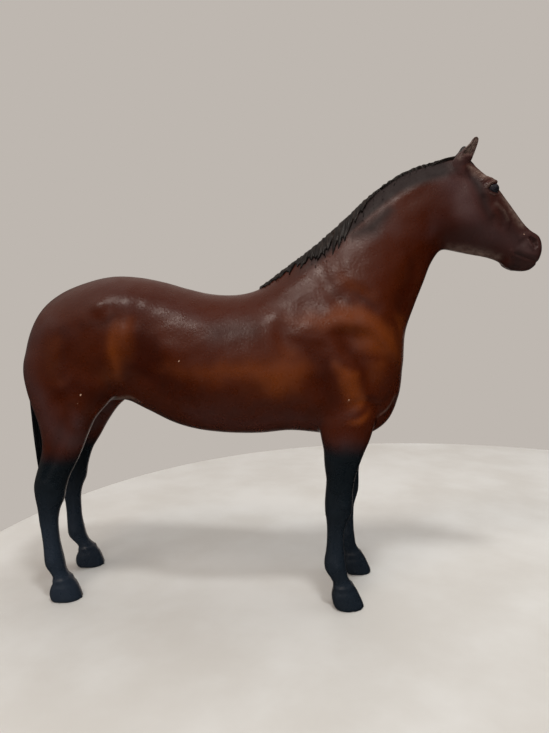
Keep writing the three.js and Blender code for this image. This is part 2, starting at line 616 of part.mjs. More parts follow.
const horse = new THREE.Group();
let tailSeat = grownTrunk;
for (const side of [-1, 1]) {
  const word = side < 0 ? "right" : "left";
  const fore = leg({ ...foreDesign, side, step: side < 0 ? 0 : LEFT_FORE_STEP });
  const hind = leg({ ...hindDesign, side, step: side < 0 ? 0 : LEFT_HIND_STEP });
  horse.add(piece(word + "_body_half", bodyHalf(side, { fore, hind }), bayCoat));
  horse.add(piece(word + "_fore_inner_leg", fore.inner.subtract(grownTrunk), legPaint));
  horse.add(piece(word + "_hind_inner_leg", hind.inner.subtract(grownTrunk), legPaint));
  tailSeat = tailSeat.add(hind.grown);
}
horse.add(piece("tail", tailSolid().subtract(tailSeat).add(dockPeg(0)), tailPaint));

// The origin is on the ground, under the middle of the horse's length.
const middle = new THREE.Box3().setFromObject(horse).getCenter(new THREE.Vector3());
horse.position.x = -middle.x;

export default horse;
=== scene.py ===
"""A standing bay toy horse: moulded in two halves, airbrushed, and given a satin coat.

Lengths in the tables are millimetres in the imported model's frame: +X to the nose, +Y to the horse's left,
+Z up. Lengths of the floor, lights and camera are metres.
"""

import math

import bpy
import numpy as np
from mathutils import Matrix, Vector


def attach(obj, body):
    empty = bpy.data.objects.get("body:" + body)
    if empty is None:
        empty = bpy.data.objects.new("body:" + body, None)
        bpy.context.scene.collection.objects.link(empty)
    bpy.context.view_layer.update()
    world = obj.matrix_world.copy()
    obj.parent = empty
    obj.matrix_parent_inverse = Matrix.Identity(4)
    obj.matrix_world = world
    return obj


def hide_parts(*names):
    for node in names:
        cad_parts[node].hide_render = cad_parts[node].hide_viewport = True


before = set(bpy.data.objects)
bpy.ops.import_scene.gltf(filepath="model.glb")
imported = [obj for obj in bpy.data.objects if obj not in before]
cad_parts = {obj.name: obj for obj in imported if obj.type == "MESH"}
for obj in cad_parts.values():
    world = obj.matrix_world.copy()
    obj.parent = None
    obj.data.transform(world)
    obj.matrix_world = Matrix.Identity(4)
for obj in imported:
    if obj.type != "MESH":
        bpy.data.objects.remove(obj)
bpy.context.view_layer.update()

MM = 0.001

# ----------------------------------------
# The horse's forms, as sections. A row is a closed section between a (top or front) and b (bottom or back):
# a's x and z, b's x and z, half width, level of the widest point from b to a, roundness above and below it.

BODY = [
    (-108.5, 110, -108.5, 101, 7.5, .5, 2, 2),
    (-107.2, 118, -107.9, 92, 13.2, .5, 2, 2.2),
    (-102.2, 127.6, -104.8, 86, 17.8, .5, 2, 2.3),
    (-94.2, 133.8, -97.7, 82, 21.2, .5, 2, 2.4),
    (-82.8, 138.2, -88.7, 82, 23.6, .52, 2.1, 2.5),
    (-71.6, 140.6, -77.2, 84, 24.9, .53, 2.1, 2.4),
    (-60.2, 140.2, -67.2, 86, 24.8, .52, 2.05, 2.3),
    (-49.2, 138.1, -56.2, 81.2, 25, .5, 2, 2.2),
    (-39.2, 135.3, -44.2, 75.6, 26, .48, 2, 2.2),
    (-29.2, 133, -33.2, 72.7, 26.8, .46, 2, 2.2),
    (-19.7, 132.3, -20.2, 71.4, 27, .45, 1.9, 2.2),
    (-11.2, 133.4, -6.2, 71.4, 26.6, .45, 1.75, 2.2),
    (-4.2, 136.4, 7.8, 72.7, 25.3, .43, 1.6, 2.2),
    (2.4, 141.3, 22.8, 71.6, 23.8, .41, 1.5, 2.4),
    (10.4, 147.2, 37.5, 70.6, 22.4, .4, 1.45, 2.6),
    (19.4, 154.1, 48.9, 76.7, 20.3, .39, 1.45, 2.4),
    (28.9, 162.3, 54.4, 88.5, 17.2, .4, 1.5, 2.2),
    (37.6, 170.5, 55.9, 102, 13.6, .42, 1.6, 2.1),
    (45.6, 177.2, 56.9, 115.5, 11, .45, 1.65, 2),
    (53.1, 182.1, 60.5, 127, 9.6, .47, 1.75, 2),
    (60.3, 185.3, 64.3, 137.2, 8.8, .5, 1.8, 2),
    (67.8, 187.4, 67.4, 145.6, 8.4, .52, 1.9, 2),
    (74.8, 189.5, 72.4, 152.5, 8, .52, 2, 2),
    (80.3, 189.2, 78.8, 158, 5.6, .5, 2, 2),
]
HEAD = [
    (70.8, 186, 67.8, 158, 4.6, .5, 2, 2),
    (76.3, 189.2, 69, 153, 6.8, .48, 2, 2.1),
    (82.1, 188.5, 73, 151.5, 8.6, .46, 2.1, 2.2),
    (86.2, 185.1, 79.1, 150.2, 9.3, .5, 2.3, 2.2),
    (90.1, 181.3, 85.2, 149, 9, .55, 2.4, 2),
    (94.1, 177, 89.8, 148.1, 8.2, .56, 2.3, 1.9),
    (98, 172.2, 93.6, 147, 7, .55, 2.2, 1.9),
    (102, 167.1, 96.8, 145.5, 6.1, .52, 2.2, 2),
    (105.9, 162.1, 99, 143.5, 5.6, .5, 2.2, 2.1),
    (109, 158.9, 101.8, 142.4, 5.8, .55, 2.4, 2.1),
    (111.8, 157.1, 105.7, 141.9, 6, .58, 2.4, 2.2),
    (113.1, 153.1, 109.1, 142.6, 5.3, .52, 2.3, 2.3),
    (112.9, 149.4, 110.9, 144.6, 3.6, .5, 2, 2),
]
# Legs of the right side: front x and z, back x and z, half width, place across the body, roundness in front
# and behind, and how much of the left leg's step the section takes.
FORELEG = [
    (42.8, 106, 21.8, 103, 4.4, 12.6, 2, 2, .1),
    (43.4, 94, 19.8, 92, 7, 13.4, 2, 2, .15),
    (43.6, 84, 18.8, 83, 8.1, 14.6, 2.1, 2, .3),
    (41.4, 74.5, 19.7, 75, 8.2, 15.7, 2.2, 2, .45),
    (38.5, 67, 21.3, 67, 7.4, 16.3, 2.2, 2, .6),
    (36.2, 60.8, 21.7, 60.8, 6.5, 16.7, 2.2, 2, .75),
    (34.4, 54.8, 22.5, 54.8, 5.8, 16.9, 2.3, 2, .84),
    (33.7, 49.8, 22.3, 49.8, 5.5, 17, 2.5, 2.1, .84),
    (33.6, 45.5, 22, 45.5, 5.6, 17, 2.7, 2.2, .86),
    (33.2, 41, 22.1, 41, 5.4, 17, 2.7, 2.2, .9),
    (31.7, 37.2, 22.7, 37.2, 4.7, 17, 2.4, 2.2, 1),
    (30.4, 33, 23, 33, 3.9, 17, 2.1, 2.1, 1.04),
    (30.1, 28, 22.9, 28, 3.6, 17, 2.1, 2.1, 1.05),
    (30.4, 23.5, 22.5, 23.5, 3.8, 17, 2.1, 2.1, 1.02),
    (30.8, 19.6, 21.9, 19.6, 4.5, 17, 2.1, 2.1, 1),
    (31.4, 16.2, 22.3, 16, 4.6, 17, 2.1, 2.1, .98),
    (31.9, 13.2, 24.3, 12.8, 4, 17, 2.1, 2.1, .98),
    (33.1, 10.8, 25.7, 10.3, 4.1, 17, 2.1, 2.2, 1.02),
]
FORE_HOOF = [
    (35, 8.6, 25.8, 7.9, 5.1),
    (36.4, 6.2, 25.2, 5.6, 5.7),
    (37.6, 3.6, 25.3, 3.2, 6),
    (38.8, .9, 26, .9, 6.2),
    (39, 0, 26.7, 0, 6.1),
]
HINDLEG = [
    (-72.2, 120, -99.2, 113, 5, 13, 2, 2, .05),
    (-66.7, 109, -106.6, 107, 8, 14.4, 2, 2, .05),
    (-65, 99.5, -107.8, 99.5, 8.9, 15.2, 2.1, 2, .05),
    (-66.2, 91.5, -106.5, 92.5, 9, 15.6, 2.1, 2, .05),
    (-71, 85, -104.1, 86, 8.6, 16, 2.1, 2, .1),
    (-75.8, 79.6, -101.5, 80, 8.1, 16.4, 2.1, 2, .4),
    (-79.3, 72.5, -99.5, 73.5, 7.3, 16.8, 2.1, 2, .85),
    (-82.1, 65.5, -99, 66.5, 6.2, 17, 2.1, 2, 1.15),
    (-85, 59.5, -100.4, 60.5, 5.5, 17, 2.1, 2, 1.35),
    (-87.9, 54, -102.1, 55.2, 5.1, 17, 2.2, 2, 1.15),
    (-89.5, 49.3, -103.3, 50, 5.1, 17, 2.3, 2, 1.05),
    (-90.6, 44.2, -102.8, 45, 5.1, 17, 2.3, 2.1, 1),
    (-92.6, 39.6, -101.9, 40, 4.5, 17, 2.2, 2.1, 1),
    (-93.5, 34.5, -101.5, 34.5, 3.8, 17, 2.1, 2.1, 1),
    (-93.4, 29, -100.7, 29, 3.6, 17, 2.1, 2.1, 1.02),
    (-92.8, 24, -100.1, 24, 3.7, 17, 2.1, 2.1, 1.1),
    (-91.9, 19.3, -99.7, 19, 4.3, 17, 2.1, 2.1, 1.12),
    (-91.2, 15.5, -99.2, 15, 4.5, 17, 2.1, 2.1, 1.1),
    (-90.6, 12.4, -97.2, 11.8, 4, 17, 2.1, 2.1, .9),
    (-89.2, 10.2, -96, 9.6, 4.1, 17, 2.1, 2.2, .7),
]
HIND_HOOF = [
    (-87.4, 8.3, -95.8, 7.5, 5),
    (-85.8, 6, -96.8, 5.2, 5.6),
    (-84.6, 3.4, -97.2, 3, 5.9),
    (-83.7, .9, -96.7, .9, 6.1),
    (-83.5, 0, -96.2, 0, 6),
]
FORE_STEP, HIND_STEP = 6.6, -4.1  # how far each left leg stands in front of the right one
BETWEEN_LEGS = -20  # x there
HOOF_ACROSS = 17  # distance of each hoof from the middle
HOOF_ROUNDNESS = (.42, 2.1, 2.8)  # level of the widest point, roundness in front and behind

# Rings along each loft, and points round a ring.
BODY_MESH, HEAD_MESH, LEG_MESH, EAR_ROOT_MESH, EAR_MESH = (320, 120), (160, 96), (220, 72), (24, 40), (96, 72)
MANE_MESH, TAIL_MESH, FORELOCK_MESH = (340, 112), (240, 176), (160, 72)
VOXEL = .72  # of the remesh that joins the lofts
SOCKET_MIDDLE, SOCKET_RADIUS, SOCKET_FLATNESS = (89.3, 6.4, 177.3), 3.4, .62
EYE_MIDDLE, EYE_RADIUS, EYE_LOOK = (90.8, 5.9, 175.5), 2.45, (.45, .85, .15)
LEFT_EAR_SWEEP = 1.5  # how far back its tip leans
MANE_SPAN = (.49, .945)  # of the body's table, from the withers to the poll
# The mane's height between locks, its inner face's depth and its tallest lock.
MANE_BED, MANE_INSIDE, MANE_LIMIT = -2.4, 2.8, 1.32


def spline(rows, t):
    """The rows of a table read at places t from 0 to 1, on a Catmull-Rom spline through each column."""
    rows = np.asarray(rows, float)
    last = len(rows) - 1
    span = np.clip(np.floor(t * last).astype(int), 0, last - 1)
    u = (t * last - span)[:, None]
    before, start, stop, after = (rows[np.clip(span + n, 0, last)] for n in (-1, 0, 1, 2))
    rise = stop - start
    slope_in, slope_out = (stop - before) / 2, (after - start) / 2
    bend = 3 * rise - 2 * slope_in - slope_out
    return start + u * (slope_in + u * (bend + u * (slope_in + slope_out - 2 * rise)))


def turns(sides):
    return np.linspace(0, 2 * math.pi, sides, endpoint=False)[None, :]


def down_to(rings):
    return np.linspace(0, 1, rings)[:, None]


def round_sections(at, angle):
    """Points of these sections, at an angle from a that grows towards the horse's left."""
    ax, az, bx, bz, half, widest, upper, lower, middle = (at[..., n] for n in range(9))
    height = np.hypot(ax - bx, az - bz)
    c, s = np.cos(angle), np.sin(angle)
    power = 2 / np.where(c > 0, upper, lower)
    level = widest * height + np.sign(c) * np.abs(c) ** power * np.where(c > 0, 1 - widest, widest) * height
    across = middle + np.sign(s) * np.abs(s) ** power * half
    return np.stack([bx + (ax - bx) / height * level, across, bz + (az - bz) / height * level], -1)


def section_rings(rows, middles, rings, sides):
    """The points of a loft through a table's sections, whose places across the body are middles."""
    table = np.column_stack([np.asarray(rows, float), np.broadcast_to(middles, len(rows))])
    return round_sections(spline(table, down_to(rings)[:, 0])[:, None, :], turns(sides))


def loft(name, points):
    """A closed mesh through rings of points, its ends closed on their middles."""
    rings, sides = points.shape[:2]
    verts = np.concatenate([points.reshape(-1, 3), points[0].mean(0)[None], points[-1].mean(0)[None]])
    r, n = np.meshgrid(np.arange(rings - 1), np.arange(sides), indexing="ij")
    p, q = r * sides + n, r * sides + (n + 1) % sides
    walls = np.stack([p, q, q + sides, p + sides], -1).reshape(-1, 4)
    ring = np.arange(sides)
    turn = (ring + 1) % sides
    first, last = rings * sides, rings * sides + 1
    ends = [(first, b, a) for a, b in zip(ring, turn)]
    ends += [(last, a + first - sides, b + first - sides) for a, b in zip(ring, turn)]
    mesh = bpy.data.meshes.new(name)
    mesh.from_pydata((verts * MM).tolist(), [], walls.tolist() + ends)
    piece = bpy.data.objects.new(name, mesh)
    bpy.context.scene.collection.objects.link(piece)
    select(piece)
    bpy.ops.object.mode_set(mode="EDIT")
    bpy.ops.mesh.select_all(action="SELECT")
    bpy.ops.mesh.normals_make_consistent(inside=False)
    bpy.ops.object.mode_set(mode="OBJECT")
    return piece


def select(*pieces):
    """Selects these pieces alone, the first one active."""
    bpy.ops.object.select_all(action="DESELECT")
    for piece in pieces:
        piece.select_set(True)
    bpy.context.view_layer.objects.active = pieces[0]


def smooth(piece):
    select(piece)
    bpy.ops.object.shade_smooth()
    return piece


def added(primitive, name, **settings):
    """A new primitive, under its own name."""
    bpy.ops.object.select_all(action="DESELECT")
    primitive(**settings)
    piece = bpy.context.active_object
    piece.name = name
    return piece


def read(items, field, width=3, kind=np.float32):
    """A field of every item, as rows of numbers."""
    values = np.empty(len(items) * width, kind)
    items.foreach_get(field, values)
    return values.reshape(-1, width)


def points_of(piece):
    return read(piece.data.vertices, "co").astype(float) / MM


def place_points(piece, co):
    piece.data.vertices.foreach_set("co", (co * MM).astype(np.float32).ravel())
    piece.data.update()


def normals_of(piece):
    return read(piece.data.vertex_normals, "vector").astype(float)


def soften(piece, weight, rounds, keep=0.0):
    """Evens the surface out where weight is above 0. keep above 0 puts back the volume that this takes."""
    co = points_of(piece)
    a, b = read(piece.data.edges, "vertices", 2, np.int32).T
    used = (weight[a] > 0) | (weight[b] > 0)
    a, b = a[used], b[used]
    count = len(co)
    degree = np.maximum(np.bincount(a, minlength=count) + np.bincount(b, minlength=count), 1)
    steps = (.5, -.5 * keep) if keep else (.5,)
    for _ in range(rounds):
        for step in steps:
            for axis in range(3):
                value = co[:, axis]
                total = np.bincount(a, weights=value[b], minlength=count)
                total += np.bincount(b, weights=value[a], minlength=count)
                co[:, axis] = value + step * weight * (total / degree - value)
    place_points(piece, co)


def ease(value, low, high):
    """0 below low, 1 above high, and smooth between."""
    t = np.clip((value - low) / (high - low), 0, 1)
    return t * t * (3 - 2 * t)


# ----------------------------------------
# The moulded horse: blank, muscles, creases and face

# An ear's sections: front x and z, back x and z, half width, distance from the middle.
EAR = [
    (82.4, 178, 72.6, 177.4, 3.2, 3.2),
    (81.5, 182.4, 73.1, 181.8, 3.1, 3.7),
    (81.6, 185.8, 73.7, 185.2, 2.9, 4.3),
    (82.4, 188.2, 74.7, 187.6, 2.7, 4.9),
    (83.3, 190.4, 76.4, 189.8, 2.4, 5.4),
    (84, 192.6, 78.6, 191.8, 2.1, 5.7),
    (84.5, 194.6, 80.9, 194, 1.6, 6),
    (84.5, 196, 82, 195.6, 1, 6.1),
    (83.9, 196.5, 82.8, 196.4, .45, 6.1),
]


def leg_rows(leg, hoof, side, step):
    """A leg's sections and its hoof's as one table, and their places across the body."""
    rows, middles = [], []
    for fx, fz, bx, bz, half, across, front, back, follow in leg:
        shift = follow * step
        rows.append((fx + shift, fz, bx + shift, bz, half, .5, front, back))
        middles.append(side * across)
    shift = leg[-1][-1] * step
    for tx, tz, hx, hz, half in hoof:
        rows.append((tx + shift, tz, hx + shift, hz, half, *HOOF_ROUNDNESS))
        middles.append(side * HOOF_ACROSS)
    return rows, middles


def own_side(co):
    """Every point as if it were on the right side, its leg not stepped: x, distance from the middle, z."""
    x = co[:, 0].copy()
    left = co[:, 1] > 0
    for rows, step, near in ((FORELEG, FORE_STEP, x > BETWEEN_LEGS), (HINDLEG, HIND_STEP, x <= BETWEEN_LEGS)):
        heights = [row[1] for row in rows][::-1]
        follows = [row[8] for row in rows][::-1]
        shift = step * np.interp(co[:, 2], heights, follows) * ease(co[:, 2], 118, 96)
        x = np.where(left & near, x - shift, x)
    return np.column_stack([x, np.abs(co[:, 1]), co[:, 2]])


def horse_blank():
    """The horse's lofts as one closed mesh, before it is carved."""
    parts = [loft("body_form", section_rings(BODY, 0, *BODY_MESH))]
    parts.append(loft("head_form", section_rings(HEAD, 0, *HEAD_MESH)))
    for side in (-1, 1):
        rows = [(fx + .3, fz, bx - .3, bz, half + .3, .5, 2, 2) for fx, fz, bx, bz, half, _ in EAR[:4]]
        middles = [side * row[5] for row in EAR[:4]]
        parts.append(loft("ear_root", section_rings(rows, middles, *EAR_ROOT_MESH)))
        x, y, z = SOCKET_MIDDLE
        bone = added(bpy.ops.mesh.primitive_uv_sphere_add, "eye_socket_bone", segments=32, ring_count=20,
                     radius=SOCKET_RADIUS * MM, location=(x * MM, side * y * MM, z * MM),
                     scale=(1, SOCKET_FLATNESS, 1))
        parts.append(bone)
        bpy.ops.object.transform_apply(location=False, rotation=False, scale=True)
        for leg, hoof, step in ((FORELEG, FORE_HOOF, FORE_STEP), (HINDLEG, HIND_HOOF, HIND_STEP)):
            rows, middles = leg_rows(leg, hoof, side, step if side > 0 else 0)
            parts.append(loft("leg_form", section_rings(rows, middles, *LEG_MESH)))
    select(*parts)
    bpy.ops.object.join()
    horse = bpy.context.active_object
    horse.name = "horse"
    bpy.ops.object.modifier_add(type="REMESH")
    remesh = horse.modifiers[-1]
    remesh.mode = "VOXEL"
    remesh.voxel_size = VOXEL * MM
    bpy.ops.object.modifier_apply(modifier=remesh.name)
    return horse


def patch(q, balls):
    """1 in the middle of each ball of (x, z, radius), easing to 0 at its radius."""
    inside = np.zeros(len(q))
    for x, z, radius in balls:
        away = np.hypot(q[:, 0] - x, q[:, 2] - z) / radius
        inside = np.maximum(inside, ease(1 - away, 0, .5))
    return inside


def refine(piece, chosen):
    """Splits each face whose middle is chosen into four."""
    flags = chosen(own_side(read(piece.data.polygons, "center").astype(float) / MM))
    select(piece)
    bpy.ops.object.mode_set(mode="EDIT")
    bpy.ops.mesh.select_mode(type="FACE")
    bpy.ops.mesh.select_all(action="DESELECT")
    bpy.ops.object.mode_set(mode="OBJECT")
    piece.data.polygons.foreach_set("select", flags)
    bpy.ops.object.mode_set(mode="EDIT")
    bpy.ops.mesh.subdivide(number_cuts=1)
    bpy.ops.object.mode_set(mode="OBJECT")


def stroke_at(q, path):
    """Nearness to a stroke, from 1 on it to 0 at its radius, its height there, and the side of it that a
    point is on. A path's rows are x, z, radius and height."""
    path = np.asarray(path, float)
    near, height, side = np.zeros(len(q)), np.zeros(len(q)), np.zeros(len(q))
    if len(path) == 1:
        path = np.concatenate([path, path + [[.01, 0, 0, 0]]])
    reach = path[:, 2].max()
    low, high = path[:, :2].min(0) - reach, path[:, :2].max(0) + reach
    found = np.flatnonzero(((q[:, ::2] > low) & (q[:, ::2] < high)).all(1))
    x, z = q[found, 0], q[found, 2]
    best, tall, sign = np.ones(len(found)), np.zeros(len(found)), np.zeros(len(found))
    for start, stop in zip(path[:-1], path[1:]):
        dx, dz = stop[:2] - start[:2]
        t = np.clip(((x - start[0]) * dx + (z - start[1]) * dz) / (dx * dx + dz * dz), 0, 1)
        ox, oz = x - start[0] - t * dx, z - start[1] - t * dz
        away = np.hypot(ox, oz) / (start[2] + t * (stop[2] - start[2]))
        closer = away < best
        best = np.where(closer, away, best)
        tall = np.where(closer, start[3] + t * (stop[3] - start[3]), tall)
        sign = np.where(closer, np.sign(dx * oz - dz * ox), sign)
    near[found], height[found], side[found] = 1 - best, tall, sign
    return near, height, side


def carve(piece, swells, edges=(), both=False, wide=1.0, beside=0.0):
    """Raises or sinks the outward surfaces along strokes, and the inward ones too where both is set, but
    nothing nearer to the middle than beside mm. Swells are soft on both sides, and edges fall off twice as
    fast on the right of their way."""
    co, no = points_of(piece), normals_of(piece)
    q = own_side(co)
    outward = no[:, 1] * np.sign(co[:, 1])
    if both:
        outward = np.abs(outward)
    outward = ease(outward, -.05, .35)
    if beside:
        outward *= ease(q[:, 1], beside, beside + 2)
    total = np.zeros(len(co))
    for path in [*swells, *edges]:
        near, height, side = stroke_at(q, [(x, z, radius * wide, height) for x, z, radius, height in path])
        if path in edges:
            near = np.where(side > 0, near, np.clip(near * 2.2 - 1.2, 0, 1))
        total += height * near * near * (3 - 2 * near)
    place_points(piece, co + no * (total * outward)[:, None])


def wave(draw, size, spread):
    """A drawn direction, as long as the wave number of waves of about size mm. Spread is how they vary."""
    way = draw.normal(size=3)
    return way * (2 * math.pi / (size * draw.uniform(*spread) * np.linalg.norm(way)))


def wander(q, size, amount):
    """The points moved about by up to amount mm in waves of about size mm, as a hand moves the airbrush."""
    draw = np.random.default_rng(7)
    moved = q.copy()
    for _ in range(9):
        way = wave(draw, size, (.5, 1.6))
        push = draw.normal(size=3) * amount / 3
        moved += np.sin(q @ way + draw.uniform(0, 6))[:, None] * push
    return moved


def brush(q, strokes):
    """How much paint soft strokes leave. A path's rows are x, z, radius and strength."""
    cover = np.zeros(len(q))
    for path in strokes:
        near, strength, _ = stroke_at(q, path)
        cover = np.maximum(cover, strength * ease(near, 0, 1) * near ** .5)
    return cover


def uneven(q, size, amount):
    """Shallow waves of about size mm, such as a cast from a carved original has."""
    draw = np.random.default_rng(21)
    height = np.zeros(len(q))
    for _ in range(14):
        way = wave(draw, size, (.6, 1.8))
        height += np.sin(q @ way + draw.uniform(0, 6)) * amount / 3
    return height


# Strokes of the carver. Each line is one path, whose points are x, z, radius and height of the surface.
MUSCLES = [
    [(4.5, 129.6, 9.3, .6), (10.3, 133.8, 7.6, .5)],  # top of the shoulder blade
    [(.2, 121.2, 5.4, .5)],
    [(17.9, 147.8, 2.6, -.2), (22.8, 134.9, 3.4, -.45), (26.9, 129, 4.2, -.6), (33.3, 123.7, 5, -.4)],
    [(31.8, 133.6, 3.8, -.4), (36.7, 131.1, 5.4, -.8), (42.3, 126.9, 5, -.5)],  # before the blade
    [(29.7, 156, 5, .2), (30.4, 145.4, 5.4, .4), (33.5, 137.7, 5, .5), (41.6, 132.7, 5, .5),
     (48.3, 124.5, 4.8, .4)],  # neck muscle down to the shoulder
    [(27.5, 115.2, 4, -.5), (32, 114.6, 4.6, -.8), (37.6, 112.4, 4.6, -.6), (42.6, 108.6, 4.3, -.4)],
    [(29.2, 115.6, 4.7, -.5), (32.4, 108.3, 5.2, -.8), (36.5, 101.9, 5, -.7), (39.8, 96.1, 4.3, -.4)],
    [(16.2, 113.9, 8.3, .6), (23.5, 110.7, 7.5, .6)],  # upper triceps
    [(24, 103, 7, .5), (30.6, 98.7, 8.5, .9), (32.5, 91, 7.7, .8)],  # lower triceps
    [(13.8, 111.5, 6, -.4), (17.9, 105.2, 7.4, -1), (19.5, 96.3, 8, -1.4), (23.6, 88.9, 6.4, -.9)],
    [(2.8, 118, 3.5, -.4), (5.3, 112.4, 4.2, -.6), (8.2, 106.8, 4.2, -.3)],  # crease on the ribs
    [(45.6, 108.2, 7.5, .7), (46.6, 99.2, 6.7, .5)],  # breast
    [(36.2, 81, 7, .9), (35.6, 73, 7, .4)],  # knob of the forearm
    [(36.5, 164, 3.4, .2), (43.8, 165.6, 3.6, .3), (49.8, 170.4, 3.6, .4), (56, 175.2, 3.6, .4),
     (63.2, 180.7, 3.4, .3), (68.2, 183.9, 3, .1)],  # band along the crest
    [(40, 165, 2, -.1), (47.4, 172, 2.2, -.2), (55.4, 178.2, 2.2, -.2), (61, 181.7, 2, -.1)],
    [(-66, 128, 6.6, .5), (-60.2, 129, 7.5, 1), (-53.9, 129.1, 6.1, .6)],  # hip bone
    [(-71.4, 126.6, 4, 1)],
    [(-66.6, 125.6, 2.6, -.4)],
    [(-51, 126.6, 7, .4), (-43, 125.4, 8, .5), (-36.2, 122.5, 8, .45), (-29.3, 119.2, 7, .3)],  # loin
    [(-46, 132.5, 5, -.2), (-36, 130, 6, -.35), (-24, 125, 6, -.3), (-14, 120, 6, -.1)],
    [(-68.3, 121, 4.8, -.5), (-62.5, 120.6, 5.2, -.7), (-56.3, 122.3, 4.8, -.5)],
    [(-51.6, 116.4, 7.4, -.6), (-51.4, 108.3, 9.1, -1.2), (-50.2, 99.3, 9.1, -1.3), (-46.4, 94.3, 7.4, -.7)],
    [(-49.2, 108.3, 3.9, .2), (-43.3, 109.2, 4.7, .5), (-36.7, 108.4, 4.3, .2)],
    [(-91.4, 117.1, 5.4, .3), (-91.9, 104.8, 6.7, .5), (-88.2, 93.3, 5.3, .3)],  # hamstring
    [(-81.9, 117.2, 4.9, -.2), (-82.9, 106.5, 5.4, -.5), (-82.3, 95, 5.8, -.5), (-85, 86.7, 5, -.4)],
    [(66.4, 152.2, 3.2, -.3), (60.4, 145.4, 4.1, -.7), (56.3, 136.3, 4.5, -.8), (54.4, 127.1, 4, -.5)],
]
# The same for folds that have one sharper side.
MUSCLE_EDGES = [
    [(4.3, 121.5, 7, .2), (14.6, 119.6, 8.5, .6), (23.6, 118.6, 8.5, .9), (32.9, 119.8, 8, 1.1),
     (41.4, 117.6, 7.5, 1.2), (47.4, 112.3, 7, 1.1), (51, 105, 6, .7)],  # blade to point of shoulder
    [(4, 117, 6, .2), (11, 114.6, 6, .5), (19, 113.4, 6, .6), (25, 112.6, 5, .3)],
    [(38.3, 92.1, 4.7, .3), (36.1, 98.6, 5.5, .5), (31.6, 105.1, 5.5, .3), (25.9, 103.6, 4.6, .2)],
    [(-67, 92, 7, .3), (-62.5, 100, 9, 1), (-60.5, 110, 9, 1.4), (-60, 118, 8, 1),
     (-58, 124, 6, .4)],  # thigh
]
CREASES = [
    [(31.2, 84.8, 2.3, -.3), (33.6, 87.2, 2.4, -.6), (37.6, 88.4, 2.6, -.7), (42.2, 86.6, 2.6, -.8),
     (45, 82, 2.5, -.5)],
    [(40.8, 83.8, 1.8, -.2), (46.2, 86.5, 2.1, -.6), (50.7, 91.2, 1.9, -.3)],  # folds of the chest
    [(43.4, 77.6, 1.8, -.2), (48.6, 81.6, 2.1, -.6), (52.4, 87.2, 1.8, -.3)],
    [(-70.7, 85.8, 2.4, .2), (-69.4, 87.2, 2.8, .5), (-60.9, 89, 2.7, .5), (-56.1, 87, 2.4, .3)],  # groin
]
FACE = [
    [(73.5, 163, 10, 1.1), (79.5, 161, 9.5, 1.2)],  # cheek
    [(73.4, 184.4, 2.6, -.3), (75.6, 180.6, 2.6, -.4), (80.6, 179.4, 2.6, -.3)],  # under the ear
    [(81.4, 182, 2.6, -.4), (84.8, 177.5, 2.8, -.5), (87, 174.9, 2.4, -.3)],  # temple
    [(81.3, 182.3, 3, -.4), (83.6, 175.3, 3.6, -.6), (86.9, 168.5, 3.6, -.7), (89.6, 162.9, 3.6, -.5),
     (90.6, 156.6, 3.6, -.3)],  # hollow in front of the cheek
    [(87.3, 171.4, 2.8, -.5), (90.3, 169, 2.8, -.5)],
    [(93.5, 170.7, 2.6, .4), (97.3, 166.8, 2.6, .3), (101.9, 162.1, 2.6, .2)],  # nose
    [(92, 168.6, 2, .3), (95.3, 165.8, 2, .6), (97.2, 162.6, 2, .5), (96.4, 159.7, 2, .2)],
    [(91.2, 163, 2.4, -.4), (94.6, 159.5, 2.4, -.4)],
    [(104, 156.2, 2, .4), (107.5, 156.9, 2.2, .6), (110.3, 155.4, 1.8, .3)],  # nostril wing
    [(103.4, 153.3, 2.3, -.4)],
    [(102.5, 150.6, 2, .3), (106.1, 149, 2, .4), (109.4, 148.2, 1.7, .3)],  # upper lip
    [(98.5, 145, 2.6, .5), (101.7, 143.7, 2.6, .4)],  # chin
]
EYELIDS = [
    [(89.6, 175.2, 1.4, -1), (90.6, 175.6, 2.2, -1.4), (92.2, 175.5, 2.2, -1.4), (93.4, 174.8, 1.4, -1)],
    [(94.2, 176.6, .8, .1), (92.9, 178, 1, .3), (90.9, 178.2, 1.1, .6), (89, 177.2, 1, .6),
     (87.4, 175.4, .8, .2)],  # upper lid
    [(87.6, 174.6, .8, .1), (89, 173.3, .8, .25), (91, 172.6, .8, .3), (93, 172.9, .8, .2)],  # lower lid
    [(86.7, 177.1, .8, -.2), (88.4, 178.7, .8, -.45), (90.4, 179.4, .8, -.4), (92, 179.2, .7, -.15)],
    [(86, 178.6, .8, .2), (87.4, 180.1, .9, .3), (89.3, 180.9, .9, .2)],  # folds over the eye
    [(85, 180.4, .6, -.15), (86.2, 181.6, .6, -.2), (87.6, 182.2, .6, -.15)],
]
FINE = [
    [(107.3, 155.2, 1.2, -.8), (108.7, 153.9, 1.5, -1.5), (109.2, 152.3, 1.3, -1.2), (108.6, 151.1, .9, -.5)],
    [(106.2, 154.4, 1, .3), (107, 152.3, 1.1, .4), (107.9, 150.6, 1, .3)],  # nostril and its rim
    [(100.9, 149, .8, -.2), (102.4, 148.5, .9, -.35), (105.5, 147.1, 1, -.55), (108.9, 145.9, 1, -.6),
     (111.4, 145.4, .9, -.5)],  # mouth
    [(99.5, 150.2, 1.1, .3), (100.2, 148.4, 1.1, .3)],
]
